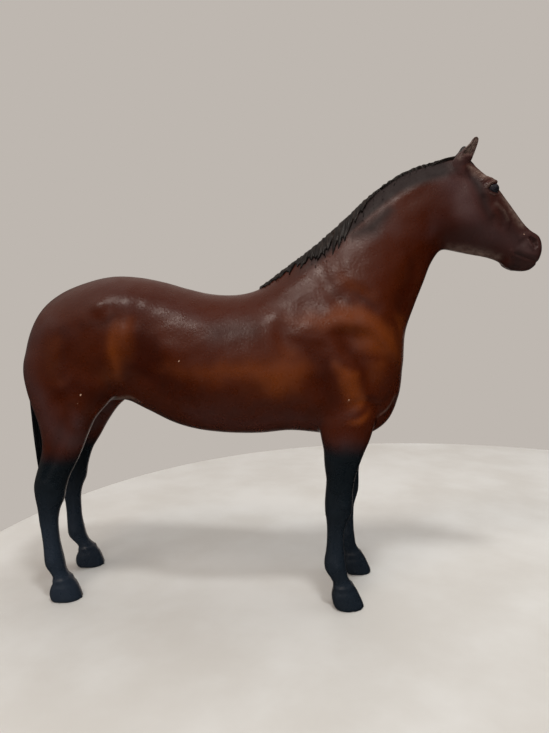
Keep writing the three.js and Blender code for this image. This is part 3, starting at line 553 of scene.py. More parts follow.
LEGWORK = [
    [(27.2, 38, 1.8, -.2), (27, 33, 1.9, -.6), (26.6, 27, 1.9, -.6), (26.4, 21.5, 1.7, -.2)],  # tendons
    [(30, 44.5, 3, .4)],
    [(26.2, 49, 2.4, -.4), (25.4, 43.5, 2, -.4)],
    [(31.8, 62, 3.6, -.4), (30.2, 54, 2.8, -.3)],
    [(25.6, 70, 3, .3), (25.4, 60, 2.6, .4), (24.6, 52, 2, .2)],
    [(27.6, 18, 2.8, .4)],
    [(-83, 84, 4, -.4), (-88.5, 71, 4, -.9), (-93, 61.5, 3.4, -1), (-96.4, 54, 2.4, -.5)],  # above the hock
    [(-93.4, 50, 2.9, .4)],
    [(-90.6, 58, 2.4, .3)],
    [(-97.4, 39, 1.7, -.2), (-97.5, 33, 1.8, -.6), (-97, 27, 1.8, -.6), (-96.2, 21, 1.7, -.2)],
    [(-95, 17.4, 2.8, .4)],
]
CORONETS = [
    [(34.6, 9.6, .9, .35), (30, 9.2, .9, .35), (24.8, 8.8, .9, .3)],
    [(35.4, 7.8, .7, -.2), (30, 7.4, .7, -.2), (24.8, 7, .7, -.15)],
    [(-87.8, 9.3, .9, .35), (-92, 8.9, .9, .35), (-97, 8.4, .9, .3)],
    [(-87, 7.5, .7, -.2), (-92, 7.1, .7, -.2), (-97.4, 6.6, .7, -.15)],
]

horse = horse_blank()
soften(horse, np.ones(len(horse.data.vertices)), 2)
q = own_side(points_of(horse))
joins = patch(q, [(32, 90, 22), (22, 92, 20), (40, 98, 18), (-86, 104, 32), (-70, 96, 26), (-98, 112, 24),
                  (-105, 106, 22), (74, 158, 14), (74, 172, 14), (76, 184, 15)])
soften(horse, joins, 110, keep=.8)
carve(horse, MUSCLES, MUSCLE_EDGES, wide=1.3)
carve(horse, CREASES)
co, no = points_of(horse), normals_of(horse)
q = own_side(co)
place_points(horse, co + no * (uneven(q, 11, .09) * ease(q[:, 2], 60, 90) * no[:, 1] ** 2)[:, None])
soften(horse, patch(q, [(-106, 104, 20)]), 30)  # buttocks
soften(horse, ease(q[:, 2], 70, 84), 6)
soften(horse, np.ones(len(q)), 2)
carve(horse, LEGWORK, both=True)
refine(horse, lambda q: (q[:, 0] > 72) & (q[:, 2] > 138))  # head
carve(horse, FACE)
q = own_side(points_of(horse))
soften(horse, patch(q, [(92, 166, 40)]), 4)
soften(horse, patch(q, [(90, 180.5, 8)]) * ease(q[:, 1], 5, 3), 60)  # between the brows
refine(horse, lambda q: patch(q, [(90.2, 175.6, 7.5), (108.4, 152, 6.5), (104, 147.6, 6)]) > .05)
carve(horse, EYELIDS, beside=4.5)
carve(horse, FINE)
carve(horse, CORONETS, both=True)


# ----------------------------------------
# Paint, laid as masks on the horse's points. Strokes of the airbrush are x, z, radius and strength.

# Airbrushed warm orange brown on the thigh, barrel, shoulder, forearm and breast, which on the raised muscles
# is also a painted highlight.
WARM_HIGHLIGHTS = [
    [(-60, 122, 9, .5), (-63, 109, 12, 1), (-65, 98, 12, .7)],
    [(-44, 101, 13, .3), (-20, 100, 20, .6), (5, 99, 21, .85)],
    [(5, 107, 14, .5)],
    [(8, 122, 11, .4), (24, 121, 12, .8), (35, 121, 12, .9), (45, 114, 11, .8), (52, 105, 8, .6)],
    [(24, 103, 9, .6), (31, 98, 10, 1), (33, 91, 9, .9)],
    [(36, 81.8, 7.5, 1)],
    [(44, 104, 12, .55), (43, 96, 10, .5)],
    [(30, 138, 12, .5), (40, 134, 12, .5)],
    [(54, 120, 8, .6), (53, 104, 8, .5)],
    [(-91, 112, 10, .4), (-88, 96, 10, .3)],
]
# Dark red brown in and beside the hollows and creases: painted shade, laid over the coat's own darker
# airbrush.
DARK = [
    [(13.8, 112, 8, .4), (17.9, 105, 10, .7), (20, 96, 11, .8), (24, 87, 9, .6)],
    [(26, 116, 5, .2), (31, 113, 6, .5), (33.5, 107, 6, .6), (37, 101, 6, .5), (40, 95, 5, .3)],
    [(-52, 117, 9, .7), (-52, 106, 12, 1.3), (-45, 98, 13, 1), (-30, 94, 13, .5)],
    [(-70, 91, 10, .9), (-80, 93, 12, .9), (-88, 90, 11, .9)],
    [(-88, 116, 12, .7), (-88, 102, 12, .9)],
    [(-76, 119, 9, .7)],
    [(-66, 121, 6, .8), (-72, 119, 7, .6)],
    [(24, 132, 4, .5), (29, 127, 5, .6), (35, 123.5, 5, .4)],
    [(33, 133, 5, .5), (38, 130.5, 6, .6), (43, 126.5, 5, .4)],
    [(58, 150, 9, .6), (56, 136, 9, .8), (55, 124, 8, .6)],
    [(33, 87.4, 2.4, .4), (38, 89, 2.6, .6), (42.6, 87.4, 2.6, .7)],
    [(70, 160, 9, .7), (78, 158, 10, .9), (88, 156, 9, .8)],
    [(-104, 118, 8, .4), (-106, 104, 9, .4), (-104, 90, 9, .4)],
    [(46, 83, 5, .7), (51, 90, 5, .6)],
]
# Greyed plum: rump, gaskins, head and underside, and a breath of it over the back and neck; over the rump and
# back it is also a painted dim reflection.
PLUM = [
    [(-94, 122, 8, .3), (-105, 112, 11, .6), (-104, 98, 10, .6), (-95, 80, 10, .6), (-86, 72, 12, .8)],
    [(-86, 115, 10, .2)],
    [(-82, 80, 8, .7)],
    [(66, 160, 10, .4)],
    [(73, 184, 13, 1), (80, 172, 18, 1), (84, 162, 20, 1), (97, 156, 18, 1), (107, 150, 14, 1)],
    [(-30, 82, 12, .3), (0, 79, 12, .35), (20, 80, 9, .3)],
    [(30, 68, 11, .6)],
    [(-74, 134, 12, .25), (-46, 126, 12, .4), (-28, 120, 12, .4), (-10, 119, 10, .2)],
    [(34, 152, 10, .3), (48, 164, 10, .3)],
]
# Black overspray, and painted shade in the groove at the temple and in front of the cheek, round the ear's
# root, on the neck under the mane and over the ribs.
OVERSPRAY_AND_SHADE = [
    [(80, 182.4, 3.6, .5), (82.6, 179.5, 4, .7), (84.6, 176.4, 4.4, .8), (86.2, 172, 4.6, .7),
     (87.6, 167.5, 5, .6), (90, 162, 6, .4)],  # temple
    [(88.4, 175, 3.4, .5), (91, 172.6, 3, .4)],
    [(92, 171, 5, .35), (97, 162, 7, .5), (103, 153, 8, .45), (102, 144, 7, .6)],  # nose to chin
    [(74, 188, 5, .4), (71, 183, 6, .35)],  # root of the ear
    [(33, 157, 5, .6), (41, 160, 8, .9), (48, 167, 5, .7)],  # neck
    [(-22, 116, 9, .35), (-8, 117, 9, .35)],  # ribs
]
# Pale tan: dry-brushed on the forehead, and painted highlights along the bridge and ridges of the nose, under
# the jaw and on the edges of the groin and chest folds.
TAN_AND_HIGHLIGHTS = [
    [(81.3, 184.8, 2.4, .7), (84, 182.6, 3.2, 1), (87, 180.8, 3, 1), (90.5, 180, 2.4, .8)],  # forehead
    [(95, 173.5, 3.6, .5), (99, 168, 4.2, .8), (103.6, 161.6, 3.8, .7)],  # bridge of the nose
    [(92, 169, 1.6, .2), (95.3, 166, 1.6, .4), (97.2, 162.8, 1.6, .3)],
    [(74, 152.4, 2.6, .3), (80, 150.6, 3.8, .6), (88, 149, 3.8, .7), (95, 147.6, 2.8, .5)],  # under the jaw
    [(-70.7, 85.4, 1.5, .3), (-67, 87.4, 1.7, .9), (-61, 88.6, 1.6, .8), (-56.5, 86.6, 1.3, .4)],
    [(43.6, 81, .9, .3), (48, 84, .9, .7), (51.6, 89.5, .8, .4)],
]
# Painted highlights along the upper and lower lids.
LID_HIGHLIGHTS = [
    [(92.9, 178, .8, .5), (90.9, 178.2, .9, .8), (89, 177.2, .9, .7), (87.6, 175.6, .7, .4)],
    [(89, 173.3, .7, .3), (91, 172.6, .7, .4)],
]
# Chips in the paint: x, z and radius.
CHIPS = [(-79, 90.3, .6), (-79.3, 89.7, .4), (-80.4, 87, .5), (-27.5, 97, .6), (-28.6, 98.4, .4),
         (-36, 104.5, .5), (-37, 104.7, .4), (31.3, 89, .7), (31, 88.2, .5), (61, 175, .5),
         (104.3, 156.9, .5)]
# The neck's outline along the crest: x and z.
CREST_LINE = [(-12, 131), (-4, 136), (10, 147), (20, 154.5), (29, 162), (38, 170.5), (46, 177), (53, 182),
              (60, 185), (68, 187.5), (76, 189.5)]


def lay(piece, name, values):
    """Keeps one number from 0 to 1 per point, for the paint to read."""
    kept = piece.data.attributes.new(name, "FLOAT", "POINT")
    kept.data.foreach_set("value", np.clip(values, 0, 1).astype(np.float32))


def hollows(piece, rounds):
    """How far each point lies below the even surface round it, in mm."""
    co, no = points_of(piece), normals_of(piece)
    soften(piece, np.ones(len(co)), rounds)
    even = points_of(piece)
    place_points(piece, co)
    return ((even - co) * no).sum(1)


q = own_side(points_of(horse))
x, z = q[:, 0], q[:, 2]
fore = x > BETWEEN_LEGS
lay(horse, "points", np.where(fore, ease(z, 81, 60), ease(z, 74, 55)))
loose = wander(q, 16, 2.4)
lay(horse, "warm_highlight", brush(loose, WARM_HIGHLIGHTS))
# The shade mask: the dark strokes, which are painted shade in the hollows, with a darker top of the back, a
# darker body low down, and a darker head and upper neck.
back = ease(z, 120, 131) * .45 * ease(x, 30, 5)
belly = ease(z, 90, 76) * .4
neck = ease(x, 40, 76) * ease(z, 125, 150) * .8
lay(horse, "shade", np.maximum.reduce([brush(loose, DARK), back, belly, neck]))
lay(horse, "plum", brush(loose, PLUM))
near_crest = ease(np.interp(x, *zip(*CREST_LINE)) - z, 10, 5.5) * ease(x, 2, 24) * ease(x, 80, 70)
muzzle = ease(x, 94, 104) * ease(z, 128, 138)
jowl = ease(x, 62, 82) * ease(z, 172, 156) * ease(z, 138, 146)
lay(horse, "overspray_and_shade", np.maximum.reduce([near_crest * .95, muzzle * .35, jowl * .2, brush(q, OVERSPRAY_AND_SHADE)]))
# The black of the legs turns a paler slate towards the hooves, less on the forelegs.
lay(horse, "paler_towards_hooves", ease(z, 56, 24) * np.where(fore, .5, 1))
lay(horse, "tan", np.maximum(brush(q, TAN_AND_HIGHLIGHTS), brush(q, LID_HIGHLIGHTS) * ease(q[:, 1], 4.5, 6)))
lay(horse, "chips", brush(q, [[(a, b, r, 1)] for a, b, r in CHIPS]))
# Painted shade in the recesses: the paint darkens by how deep a point lies below the even surface round it.
lay(horse, "hollow", ease(hollows(horse, 50), .1, .6))


def half_of(whole, name, side):
    """The right (side -1) or left (side 1) half of the moulded horse, closed along the middle."""
    select(whole)
    bpy.ops.object.duplicate()
    half = bpy.context.active_object
    half.name = name
    bpy.ops.object.mode_set(mode="EDIT")
    bpy.ops.mesh.select_all(action="SELECT")
    bpy.ops.mesh.bisect(plane_co=(0, 0, 0), plane_no=(0, side, 0), use_fill=False, clear_inner=True)
    bpy.ops.mesh.select_mode(type="EDGE")
    bpy.ops.mesh.select_all(action="DESELECT")
    bpy.ops.mesh.select_non_manifold(extend=False)
    bpy.ops.mesh.fill(use_beauty=False)
    bpy.ops.mesh.select_all(action="SELECT")
    bpy.ops.mesh.normals_make_consistent(inside=False)
    bpy.ops.object.mode_set(mode="OBJECT")
    bpy.ops.object.shade_smooth_by_angle(angle=math.radians(60))
    return half


right_half = half_of(horse, "right_half", -1)
left_half = half_of(horse, "left_half", 1)
bpy.data.objects.remove(horse)

# ----------------------------------------
# Ears, eyes, mane and tail

def on_loft(values, ends):
    """A number per ring and side as one per point of the loft, followed by those of its two end points."""
    return np.concatenate([values.ravel(), ends])


def ear(name, side, sweep):
    """An ear with its cup pressed in, its tip sweep mm further back than in the table."""
    rows = [(fx - sweep * ease(fz, 184, 196), fz, bx - sweep * ease(bz, 184, 196), bz, half, .5, 2, 2)
            for fx, fz, bx, bz, half, _ in EAR]
    rings = section_rings(rows, [side * row[5] for row in EAR], *EAR_MESH)
    turned = (turns(EAR_MESH[1]) * side - 1 + math.pi) % (2 * math.pi) - math.pi  # from the way the cup opens
    window = ease(1 - np.abs(turned) / 1.25, 0, .6)
    up = down_to(EAR_MESH[0])
    depth = ease(up, .38, .58) * ease(up, 1, .86)
    wide = np.ptp(rings[:, :, 0], axis=1)[:, None]
    ribs = 1 + .16 * np.cos(turned * 9 + 2)
    into = np.array([-.54, -.84 * side, 0])
    rings += (window * depth * .4 * wide * ribs)[..., None] * into
    piece = loft(name, rings)
    q = own_side(points_of(piece))
    # The cup and patches at the root and near the tip are paler: tan paint with painted highlights.
    tips = brush(q, [[(77, 188, 2.4, .5)], [(80, 192.5, 2.4, .6), (82.6, 195.6, 1.6, .6)]])
    lay(piece, "tan", np.maximum(on_loft(window * depth, [0, 0]), tips))
    for paint, cover in (("shade", .9), ("plum", .8), ("overspray_and_shade", .2)):
        lay(piece, paint, np.full(len(q), cover))
    rim = ease(np.abs(turned - .15), 1.2, .9) * ease(turned, .5, 1.1) * depth
    lay(piece, "points", np.maximum(on_loft(rim, [0, .5]), side > 0) * .8)
    return smooth(piece)


right_ear = ear("right_ear", -1, 0)
left_ear = ear("left_ear", 1, LEFT_EAR_SWEEP)


def eye(name, side):
    """A glossy ball in the socket, its cornea drawn out a little along the way the eye looks."""
    x, y, z = EYE_MIDDLE
    ball = added(bpy.ops.mesh.primitive_uv_sphere_add, name, segments=48, ring_count=32,
                 radius=EYE_RADIUS * MM)
    co = points_of(ball)
    away = np.hypot(co[:, 0], co[:, 1])
    co[:, 2] += np.where(co[:, 2] > 0, .35 * ease(away, 1.5, .2), 0)
    co[:, 0] *= 1.12
    look = Vector((EYE_LOOK[0], side * EYE_LOOK[1], EYE_LOOK[2]))
    place_points(ball, co @ np.array(look.to_track_quat("Z", "Y").to_matrix()).T + (x, side * y, z))
    return smooth(ball)


right_eye = eye("right_eye", -1)
left_eye = eye("left_eye", 1)


def crest(rings, columns, right, left):
    """Points of the neck's surface: rings along the crest, and columns at even distances round it from right
    to left. Also the normal at each, its distance round from the crest, and each ring's distance along it."""
    table = np.column_stack([np.asarray(BODY, float), np.zeros(len(BODY))])
    at = spline(table, np.linspace(*MANE_SPAN, rings))
    angle = np.linspace(-1.9, 1.9, 381)[None, :]
    ring = round_sections(at[:, None, :], angle)
    run = np.concatenate([np.zeros((rings, 1)), np.linalg.norm(np.diff(ring, axis=1), axis=2).cumsum(1)], 1)
    run -= run[:, angle.size // 2, None]
    round_from_crest = np.linspace(-right, left, columns, axis=1)
    points = np.empty((rings, columns, 3))
    for n in range(rings):
        for axis in range(3):
            points[n, :, axis] = np.interp(round_from_crest[n], run[n], ring[n, :, axis])
    normal = np.cross(np.gradient(points, axis=0), np.gradient(points, axis=1))
    normal /= np.linalg.norm(normal, axis=2, keepdims=True)
    along = np.concatenate([[0], np.linalg.norm(np.diff(at[:, :2], axis=0), axis=1).cumsum()])
    return points, normal, round_from_crest, along


def locks(u, s, roots, width, reach, spread, tall, lean, sweep, strands, seed):
    """Locks of hair as a height in mm at places u along the crest and s down from it, and their strands.
    Width and spread are ranges, of a lock's half width in mm and of the share of its reach that it falls."""
    draw = np.random.default_rng(seed)
    height = np.full(u.shape, MANE_BED)
    streak = np.zeros(u.shape)
    for n, root in enumerate(roots):
        long = reach(root) * draw.uniform(*spread)
        way = lean + draw.uniform(-sweep, sweep)
        sway = draw.uniform(-.8, .8)
        down = np.clip(s / long, 0, 1.2)
        middle = root + way * s + sway * np.sin(down * 3.4)
        half = draw.uniform(*width) * np.clip(1 - down ** 1.6, 0, 1) ** .75
        across = (u - middle) / np.maximum(half, .05)
        top = tall * draw.uniform(.85, 1.1) * (1 - .35 * down)
        bulge = np.where(np.abs(across) < 1, top * np.sqrt(np.clip(1 - across ** 2, 0, 1)), MANE_BED)
        ridge = np.cos(across * math.pi * strands / 2 + draw.uniform(0, 6) + 1.3 * np.sin(down * 4 + n))
        bulge = np.where(bulge > 0, bulge + .22 * ridge * np.clip(bulge / tall, 0, 1), bulge)
        higher = bulge > height
        height = np.where(higher, bulge, height)
        streak = np.where(higher, ridge, streak)
    return height, streak


def mane_sheet():
    """Long locks down the left of the neck and short ones over its right, as one sheet bedded in the neck."""
    rings, columns = MANE_MESH
    share = np.linspace(0, 1, rings)  # of the crest, from the withers to the poll
    right = np.interp(share, [0, .12, .28, .45, .56, .68, 1], [3, 6, 10, 14, 13, 5, 3])
    left = np.interp(share, [0, .1, .3, .6, .85, 1], [3, 14, 23, 27, 23, 8])
    place, normal, s, length = crest(rings, columns, right, left)
    u = np.repeat(length[:, None], columns, 1)
    total = length[-1]

    def long_reach(root):
        return np.interp(root / total, [0, .1, .3, .6, .85, 1], [5, 13, 20, 25, 21, 9])

    def short_reach(root):
        return np.interp(root / total, [0, .15, .25, .36, .47, .54, .6, .66, 1],
                         [2, 4, 6.5, 9.5, 11.5, 10.5, 6, 1, .5])

    scatter = np.random.default_rng(9)
    left_roots = np.linspace(.03, .97, 17) * total + scatter.uniform(-1.5, 1.5, 17)
    right_roots = np.linspace(.0, 1.08, 84) * total + scatter.uniform(-1.8, 1.8, 84)
    falls, coarse = locks(u, np.maximum(s, 0), left_roots, width=(4.2, 7.6), reach=long_reach,
                          spread=(.7, 1.1), tall=1.3, lean=-.16, sweep=.1, strands=8, seed=3)
    roots, fine = locks(u, np.maximum(-s, 0), right_roots, width=(1.2, 2.6), reach=short_reach,
                        spread=(.62, 1.05), tall=.9, lean=-.55, sweep=.35, strands=3, seed=5)
    leftness = ease(s, -1.2, 1.2)
    height = roots * (1 - leftness) + falls * leftness
    streak = fine * (1 - leftness) + coarse * leftness
    end = np.minimum(ease(share, 0, .05), ease(share, 1, .96))[:, None]
    height = np.minimum(height, MANE_LIMIT) * end + MANE_BED * (1 - end)
    outer = place + normal * height[..., None]
    inner = place - normal * MANE_INSIDE
    piece = loft("mane", np.concatenate([outer, inner[:, ::-1]], 1))
    lay(piece, "strand", on_loft(np.concatenate([streak, streak[:, ::-1]], 1) * .5 + .5, [.5, .5]))
    return smooth(piece)


mane = mane_sheet()

# The tail's sections: back x and z, front x and z, half width.
TAIL = [
    (-96, 126.6, -91.5, 122, 1.8),
    (-99.5, 125.8, -93.6, 121.4, 2.6),
    (-104.6, 122.4, -98, 116, 3.8),
    (-109.6, 113.5, -103.6, 108, 4.8),
    (-112.2, 103, -106.9, 100, 5.4),
    (-112.8, 92, -107.3, 91, 5.7),
    (-112.1, 80, -106.9, 80, 5.7),
    (-111.2, 68, -106.2, 68, 5.1),
    (-109.9, 55.5, -105.9, 55.5, 4),
    (-108.6, 46, -106.3, 45, 2.3),
    (-107.6, 39.5, -107, 39.3, .6),
]


def hair(name, rows, middles, mesh, strands, grooves, room=0):
    """A loft sunk by grooves, in mm, and in full only where its surface is room mm from its middle."""
    points = section_rings([(*row, .5, 2, 2) for row in rows], middles, *mesh)
    out = points - points.mean(1, keepdims=True)
    away = np.linalg.norm(out, axis=2, keepdims=True)
    depth = grooves[..., None] * (np.minimum(1, away / room) if room else 1)
    piece = loft(name, points + out / np.maximum(away, .01) * depth)
    lay(piece, "strand", on_loft(strands * .5 + .5, [.5, .5]))
    return smooth(piece)


def tail_fall():
    angle, down = turns(TAIL_MESH[1]), down_to(TAIL_MESH[0])
    sway = .5 * np.sin(down * 7 + 2 * np.sin(angle)) + .25 * np.sin(down * 17 + 3 * np.cos(2 * angle))
    strands = np.cos(angle * 19 + sway * 2.2) * .6 + np.cos(angle * 34 - sway * 3 + 1) * .3
    hanks = np.cos(angle * 5 + sway * 1.6 + 1.1)
    grow = ease(down, .05, .2) * ease(down, 1.02, .9)
    depth = grow * (.22 * (strands - .9) + .4 * (hanks - 1) * ease(down, .1, .5))
    return hair("tail_fall", TAIL, 0, TAIL_MESH, strands, depth, room=2.4)


tail = tail_fall()

# The forelock's sections, from the poll to the forehead: top x and z, underside x and z, half width.
FORELOCK = [
    (62, 184.4, 62.8, 182.4, 1.2),
    (66, 187, 66.7, 184.6, 2.2),
    (71, 189.4, 71.3, 186.8, 2.5),
    (75.5, 190.5, 75.5, 187.8, 2.6),
    (79, 190.8, 78.4, 187.8, 2.8),
    (81.6, 190, 80.2, 187, 2.8),
    (83.6, 188.4, 82.2, 186, 2.5),
    (85.5, 186.4, 84.5, 184.8, 1.8),
    (87, 184.8, 86.6, 183.9, .8),
]


def forelock_hair():
    angle, down = turns(FORELOCK_MESH[1]), down_to(FORELOCK_MESH[0])
    sway = .6 * np.sin(down * 9) + .3 * np.sin(down * 23 + angle)
    strands = np.cos(angle * 11 + sway * 2)
    depth = .2 * (strands - .4) * ease(down, 0, .1) * ease(down, 1.02, .85)
    return hair("forelock", FORELOCK, np.linspace(.2, 1.4, len(FORELOCK)), FORELOCK_MESH, strands, depth)


forelock = forelock_hair()

# ----------------------------------------
# Finishes


def linear(code):
    """An sRGB hex colour as linear red, green, blue, alpha."""
    parts = [int(code[n:n + 2], 16) / 255 for n in (1, 3, 5)]
    return [p / 12.92 if p <= .04045 else ((p + .055) / 1.055) ** 2.4 for p in parts] + [1]


def add(tree, kind, settings=None, **links):
    """Adds a node with its settings, and its sockets set to values or joined to other nodes' outputs."""
    node = tree.nodes.new(kind)
    for key, value in (settings or {}).items():
        setattr(node, key, value)
    for key, value in links.items():
        name = int(key[1:]) if key[0] == "i" and key[1:].isdigit() else key.replace("_", " ")
        socket = node.inputs[name]
        if isinstance(value, bpy.types.NodeSocket):
            tree.links.new(value, socket)
        else:
            socket.default_value = value
    return node


def blank_material(name):
    material = bpy.data.materials.new(name)
    material.use_nodes = True
    tree = material.node_tree
    tree.nodes.clear()
    return material, tree


def blend(tree, amount, under, over):
    """One colour over another, by amount. Each is an output or a hex colour."""
    under, over = (linear(colour) if isinstance(colour, str) else colour for colour in (under, over))
    return add(tree, "ShaderNodeMix", {"data_type": "RGBA"}, i0=amount, i6=under, i7=over).outputs[2]


def mask(tree, name):
    return add(tree, "ShaderNodeAttribute", {"attribute_name": name}).outputs["Fac"]


def reckon(tree, operation, *values):
    inputs = {f"i{n}": value for n, value in enumerate(values)}
    return add(tree, "ShaderNodeMath", {"operation": operation}, **inputs).outputs[0]


def mottle(tree, size_mm, detail=3.0, rough=.55):
    """Noise whose blots are about size_mm across."""
    place = add(tree, "ShaderNodeTexCoord").outputs["Object"]
    noise = add(tree, "ShaderNodeTexNoise", Vector=place, Scale=1000 / size_mm, Detail=detail,
                Roughness=rough)
    return noise.outputs["Fac"]


def ramp(tree, value, low, high, start=0.0, stop=1.0):
    node = add(tree, "ShaderNodeMapRange", {"interpolation_type": "SMOOTHSTEP"}, Value=value, From_Min=low,
               From_Max=high, To_Min=start, To_Max=stop)
    return node.outputs[0]


def surface(tree, **sockets):
    shader = add(tree, "ShaderNodeBsdfPrincipled", **sockets)
    add(tree, "ShaderNodeOutputMaterial", Surface=shader.outputs[0])


# Acrylic airbrush paint on moulded cellulose acetate, under a satin clear coat. The eye sees soft clouds of
# warm and dark brown, no hard edges, and a wide highlight broken up by a fine orange-peel grain.
coat, tree = blank_material("airbrushed_satin_bay_on_moulded_plastic")
drift = reckon(tree, "MULTIPLY_ADD", mottle(tree, 14), .5, -.25)
warm = reckon(tree, "ADD", mask(tree, "warm_highlight"), drift)
dark = reckon(tree, "ADD", mask(tree, "shade"), reckon(tree, "MULTIPLY", drift, -.6))
points = reckon(tree, "ADD", mask(tree, "points"), reckon(tree, "MULTIPLY", drift, .5))
# Paler slate towards the hooves.
slate = blend(tree, mask(tree, "paler_towards_hooves"), "#12191e", "#242d38")
# The shade mask darkens the base colour, with painted shade in the hollows.
colour = blend(tree, ramp(tree, dark, 0, 1.1), "#481a07", "#390f01")
for cover, paint in (
    # Warm orange brown, a painted highlight on the raised muscles.
    (ramp(tree, warm, .1, 1.1), "#703410"),
    # Painted shade, darker in the recesses.
    (reckon(tree, "MULTIPLY", mask(tree, "hollow"), .4), "#3c0f02"),
    # Greyed plum, a painted dim reflection over the rump and back.
    (mask(tree, "plum"), "#4b312f"),
    # Black overspray, with painted shade in the grooves, round the ear's root, under the mane and over the
    # ribs.
    (mask(tree, "overspray_and_shade"), "#221a1a"),
    (ramp(tree, points, .2, .9), slate),
    # Pale tan, and painted highlights along the nose, jaw, folds and lids.
    (reckon(tree, "MULTIPLY", mask(tree, "tan"), ramp(tree, mottle(tree, 1.6), .3, .7, .25, .85)), "#897468"),
    (ramp(tree, mask(tree, "chips"), .3, .6), "#d8b49a"),
):
    colour = blend(tree, cover, colour, paint)
grain = add(tree, "ShaderNodeBump", Strength=.65, Distance=.0002, Height=mottle(tree, 1.1, 3, .7))
satin = ramp(tree, mottle(tree, 5), .3, .7, .24, .36)
overspray = reckon(tree, "MULTIPLY_ADD", mask(tree, "overspray_and_shade"), .3, satin)  # black overspray dries matt
surface(tree, Base_Color=colour, Normal=grain.outputs[0], Roughness=overspray, IOR=1.48)


def hair_paint(name, base, high):
    """Dark paint over moulded strands, paler in patches on their ridges, partly worn paint and partly a
    painted highlight on the strands, while the valleys keep the dark paint.
    """
    material, tree = blank_material(name)
    pale_patches = ramp(tree, mottle(tree, 4), .35, .7)
    ridge = reckon(tree, "MULTIPLY", ramp(tree, mask(tree, "strand"), .45, 1), pale_patches)
    grain = add(tree, "ShaderNodeBump", Strength=.4, Distance=.00012, Height=mottle(tree, .6, 2))
    surface(tree, Base_Color=blend(tree, ridge, base, high), Normal=grain.outputs[0], Roughness=.4, IOR=1.42)
    return material


mane_paint = hair_paint("satin_black_brown_acrylic_on_mane", "#0d0908", "#2e231d")
tail_paint = hair_paint("satin_blue_black_acrylic_on_tail", "#0e1014", "#1e2024")

# Gloss enamel dropped on the moulded eye: nearly black, a shade paler in clouds, with a soft highlight.
eye_gloss, tree = blank_material("gloss_enamel_on_eye")
iris = ramp(tree, mottle(tree, 1.5), .3, .8)
surface(tree, Base_Color=blend(tree, iris, "#1e1e22", "#343238"), Roughness=.2, IOR=1.5)

for finish, pieces in ((coat, (right_half, left_half, right_ear, left_ear)), (mane_paint, (mane, forelock)),
                       (tail_paint, (tail,)), (eye_gloss, (right_eye, left_eye))):
    for piece in pieces:
        piece.data.materials.clear()
        piece.data.materials.append(finish)
        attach(piece, "root")

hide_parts("right_body_half", "right_fore_inner_leg", "right_hind_inner_leg")
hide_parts("left_body_half", "left_fore_inner_leg", "left_hind_inner_leg")
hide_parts("tail")

# ----------------------------------------
# Floor, light and camera

TABLE_RADIUS, TABLE_THICKNESS, TABLE_MIDDLE = .298, .024, (.13, .013)
ROOM_RADIUS = 6
CAMERA_AWAY, CAMERA_ASIDE, CAMERA_HEIGHT = .245, -.0002, .12
CAMERA_TURN, CAMERA_TIP = math.radians(3.4), math.radians(4.51)
FOCAL_PIXELS, PICTURE_PIXELS, SENSOR = 551, 733, 36

# Honed pale stone: a round tabletop. The eye sees a matt, nearly white top with faint warm clouds in it.
pale, tree = blank_material("honed_pale_stone_tabletop")
veins = ramp(tree, mottle(tree, 60, 5), .3, .7)
surface(tree, Base_Color=blend(tree, veins, "#dedcd6", "#ebebe7"), Roughness=.5)
floor = added(bpy.ops.mesh.primitive_cylinder_add, "floor", vertices=512, radius=TABLE_RADIUS,
              depth=TABLE_THICKNESS, location=(*TABLE_MIDDLE, -TABLE_THICKNESS / 2))
bpy.ops.object.modifier_add(type="BEVEL")
floor.modifiers[-1].width = .004
floor.modifiers[-1].segments = 4
bpy.ops.object.modifier_apply(modifier=floor.modifiers[-1].name)
floor.data.materials.append(pale)
floor.visible_glossy = False

# Matt painted wall all round, which only the camera sees: it gives no light of its own.
wall_paint, tree = blank_material("matt_emulsion_on_wall")
plain = add(tree, "ShaderNodeEmission", Color=linear("#beb7b0"), Strength=1)
add(tree, "ShaderNodeOutputMaterial", Surface=plain.outputs[0])
backdrop = added(bpy.ops.mesh.primitive_uv_sphere_add, "backdrop", segments=64, ring_count=32,
                 radius=ROOM_RADIUS)
backdrop.data.materials.append(wall_paint)
for ray in ("diffuse", "glossy", "transmission", "shadow", "volume_scatter"):
    setattr(backdrop, "visible_" + ray, False)

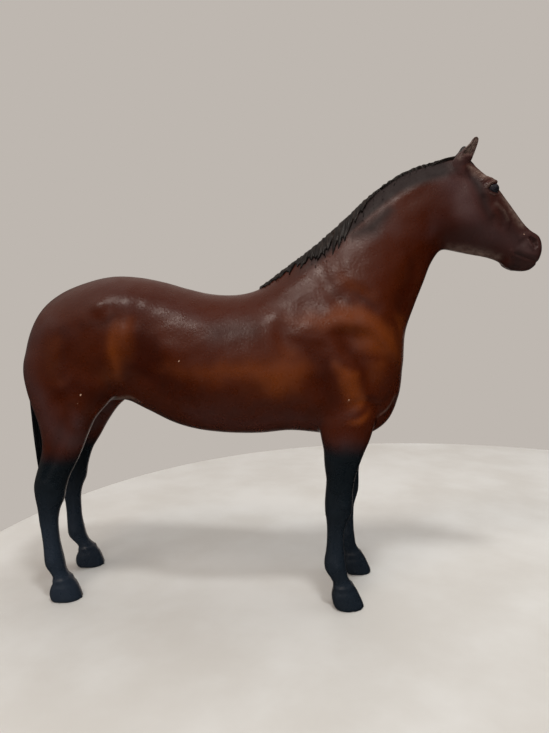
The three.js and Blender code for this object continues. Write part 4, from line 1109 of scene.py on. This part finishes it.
# The room's light: a pale ceiling, the pale wall beyond the table, and a darker room behind the camera.
world = bpy.data.worlds.new("soft_room")
bpy.context.scene.world = world
world.use_nodes = True
tree = world.node_tree
tree.nodes.clear()
way = add(tree, "ShaderNodeTexCoord").outputs["Generated"]
x, y, z = add(tree, "ShaderNodeSeparateXYZ", Vector=way).outputs
glow = reckon(tree, "MULTIPLY", ramp(tree, z, -.35, .2, .02, .07), ramp(tree, x, -.3, -.9, 1, 2.5))
glow = reckon(tree, "MAXIMUM", glow, ramp(tree, z, 0, .7, 0, .52))
glow = reckon(tree, "MULTIPLY", glow, ramp(tree, z, .88, 1, 1, .5))
glow = reckon(tree, "MULTIPLY", glow, ramp(tree, x, -.15, .6, 1, .15))
glow = reckon(tree, "MAXIMUM", glow, ramp(tree, y, .82, .97, 0, .7))
room = add(tree, "ShaderNodeBackground", Color=linear("#efe0d6"), Strength=glow)
add(tree, "ShaderNodeOutputWorld", Surface=room.outputs[0])


def softbox(name, place, aim, size, power, shines=False):
    """A lamp that is itself reflected in glossy paint only where shines is set."""
    data = bpy.data.lights.new(name, "AREA")
    data.shape = "RECTANGLE"
    data.size, data.size_y = size
    data.energy = power
    lamp = bpy.data.objects.new(name, data)
    bpy.context.scene.collection.objects.link(lamp)
    lamp.location = place
    lamp.rotation_euler = (Vector(aim) - Vector(place)).to_track_quat("-Z", "Y").to_euler()
    lamp.visible_glossy = shines
    return lamp


ceiling = softbox("ceiling_light", (-.25, -.49, .93), (0, 0, .1), (.26, .28), 1.8, shines=True)
ceiling.data.color = (1, .9, .82)
softbox("light_pool", (.1, -.32, .95), (0, 0, .1), (.1, .1), 2.4)
softbox("wall_bounce", (.1, -1.3, .45), (0, 0, .1), (1.4, 1), 6)
softbox("skylight", (.3, .2, .9), (0, 0, .05), (.8, .8), 3.4)

camera = bpy.data.objects.new("camera", bpy.data.cameras.new("camera"))
bpy.context.scene.collection.objects.link(camera)
aside, ahead = math.sin(CAMERA_TURN), math.cos(CAMERA_TURN)
camera.location = (CAMERA_AWAY * aside + CAMERA_ASIDE, -CAMERA_AWAY * ahead, CAMERA_HEIGHT)
aim = Vector((-aside * math.cos(CAMERA_TIP), ahead * math.cos(CAMERA_TIP), -math.sin(CAMERA_TIP)))
camera.rotation_euler = aim.to_track_quat("-Z", "Y").to_euler()
camera.data.sensor_width = SENSOR
camera.data.lens = SENSOR * FOCAL_PIXELS / PICTURE_PIXELS
camera.data.clip_start = .01
bpy.context.scene.camera = camera
bpy.context.scene.view_settings.view_transform = "Standard"
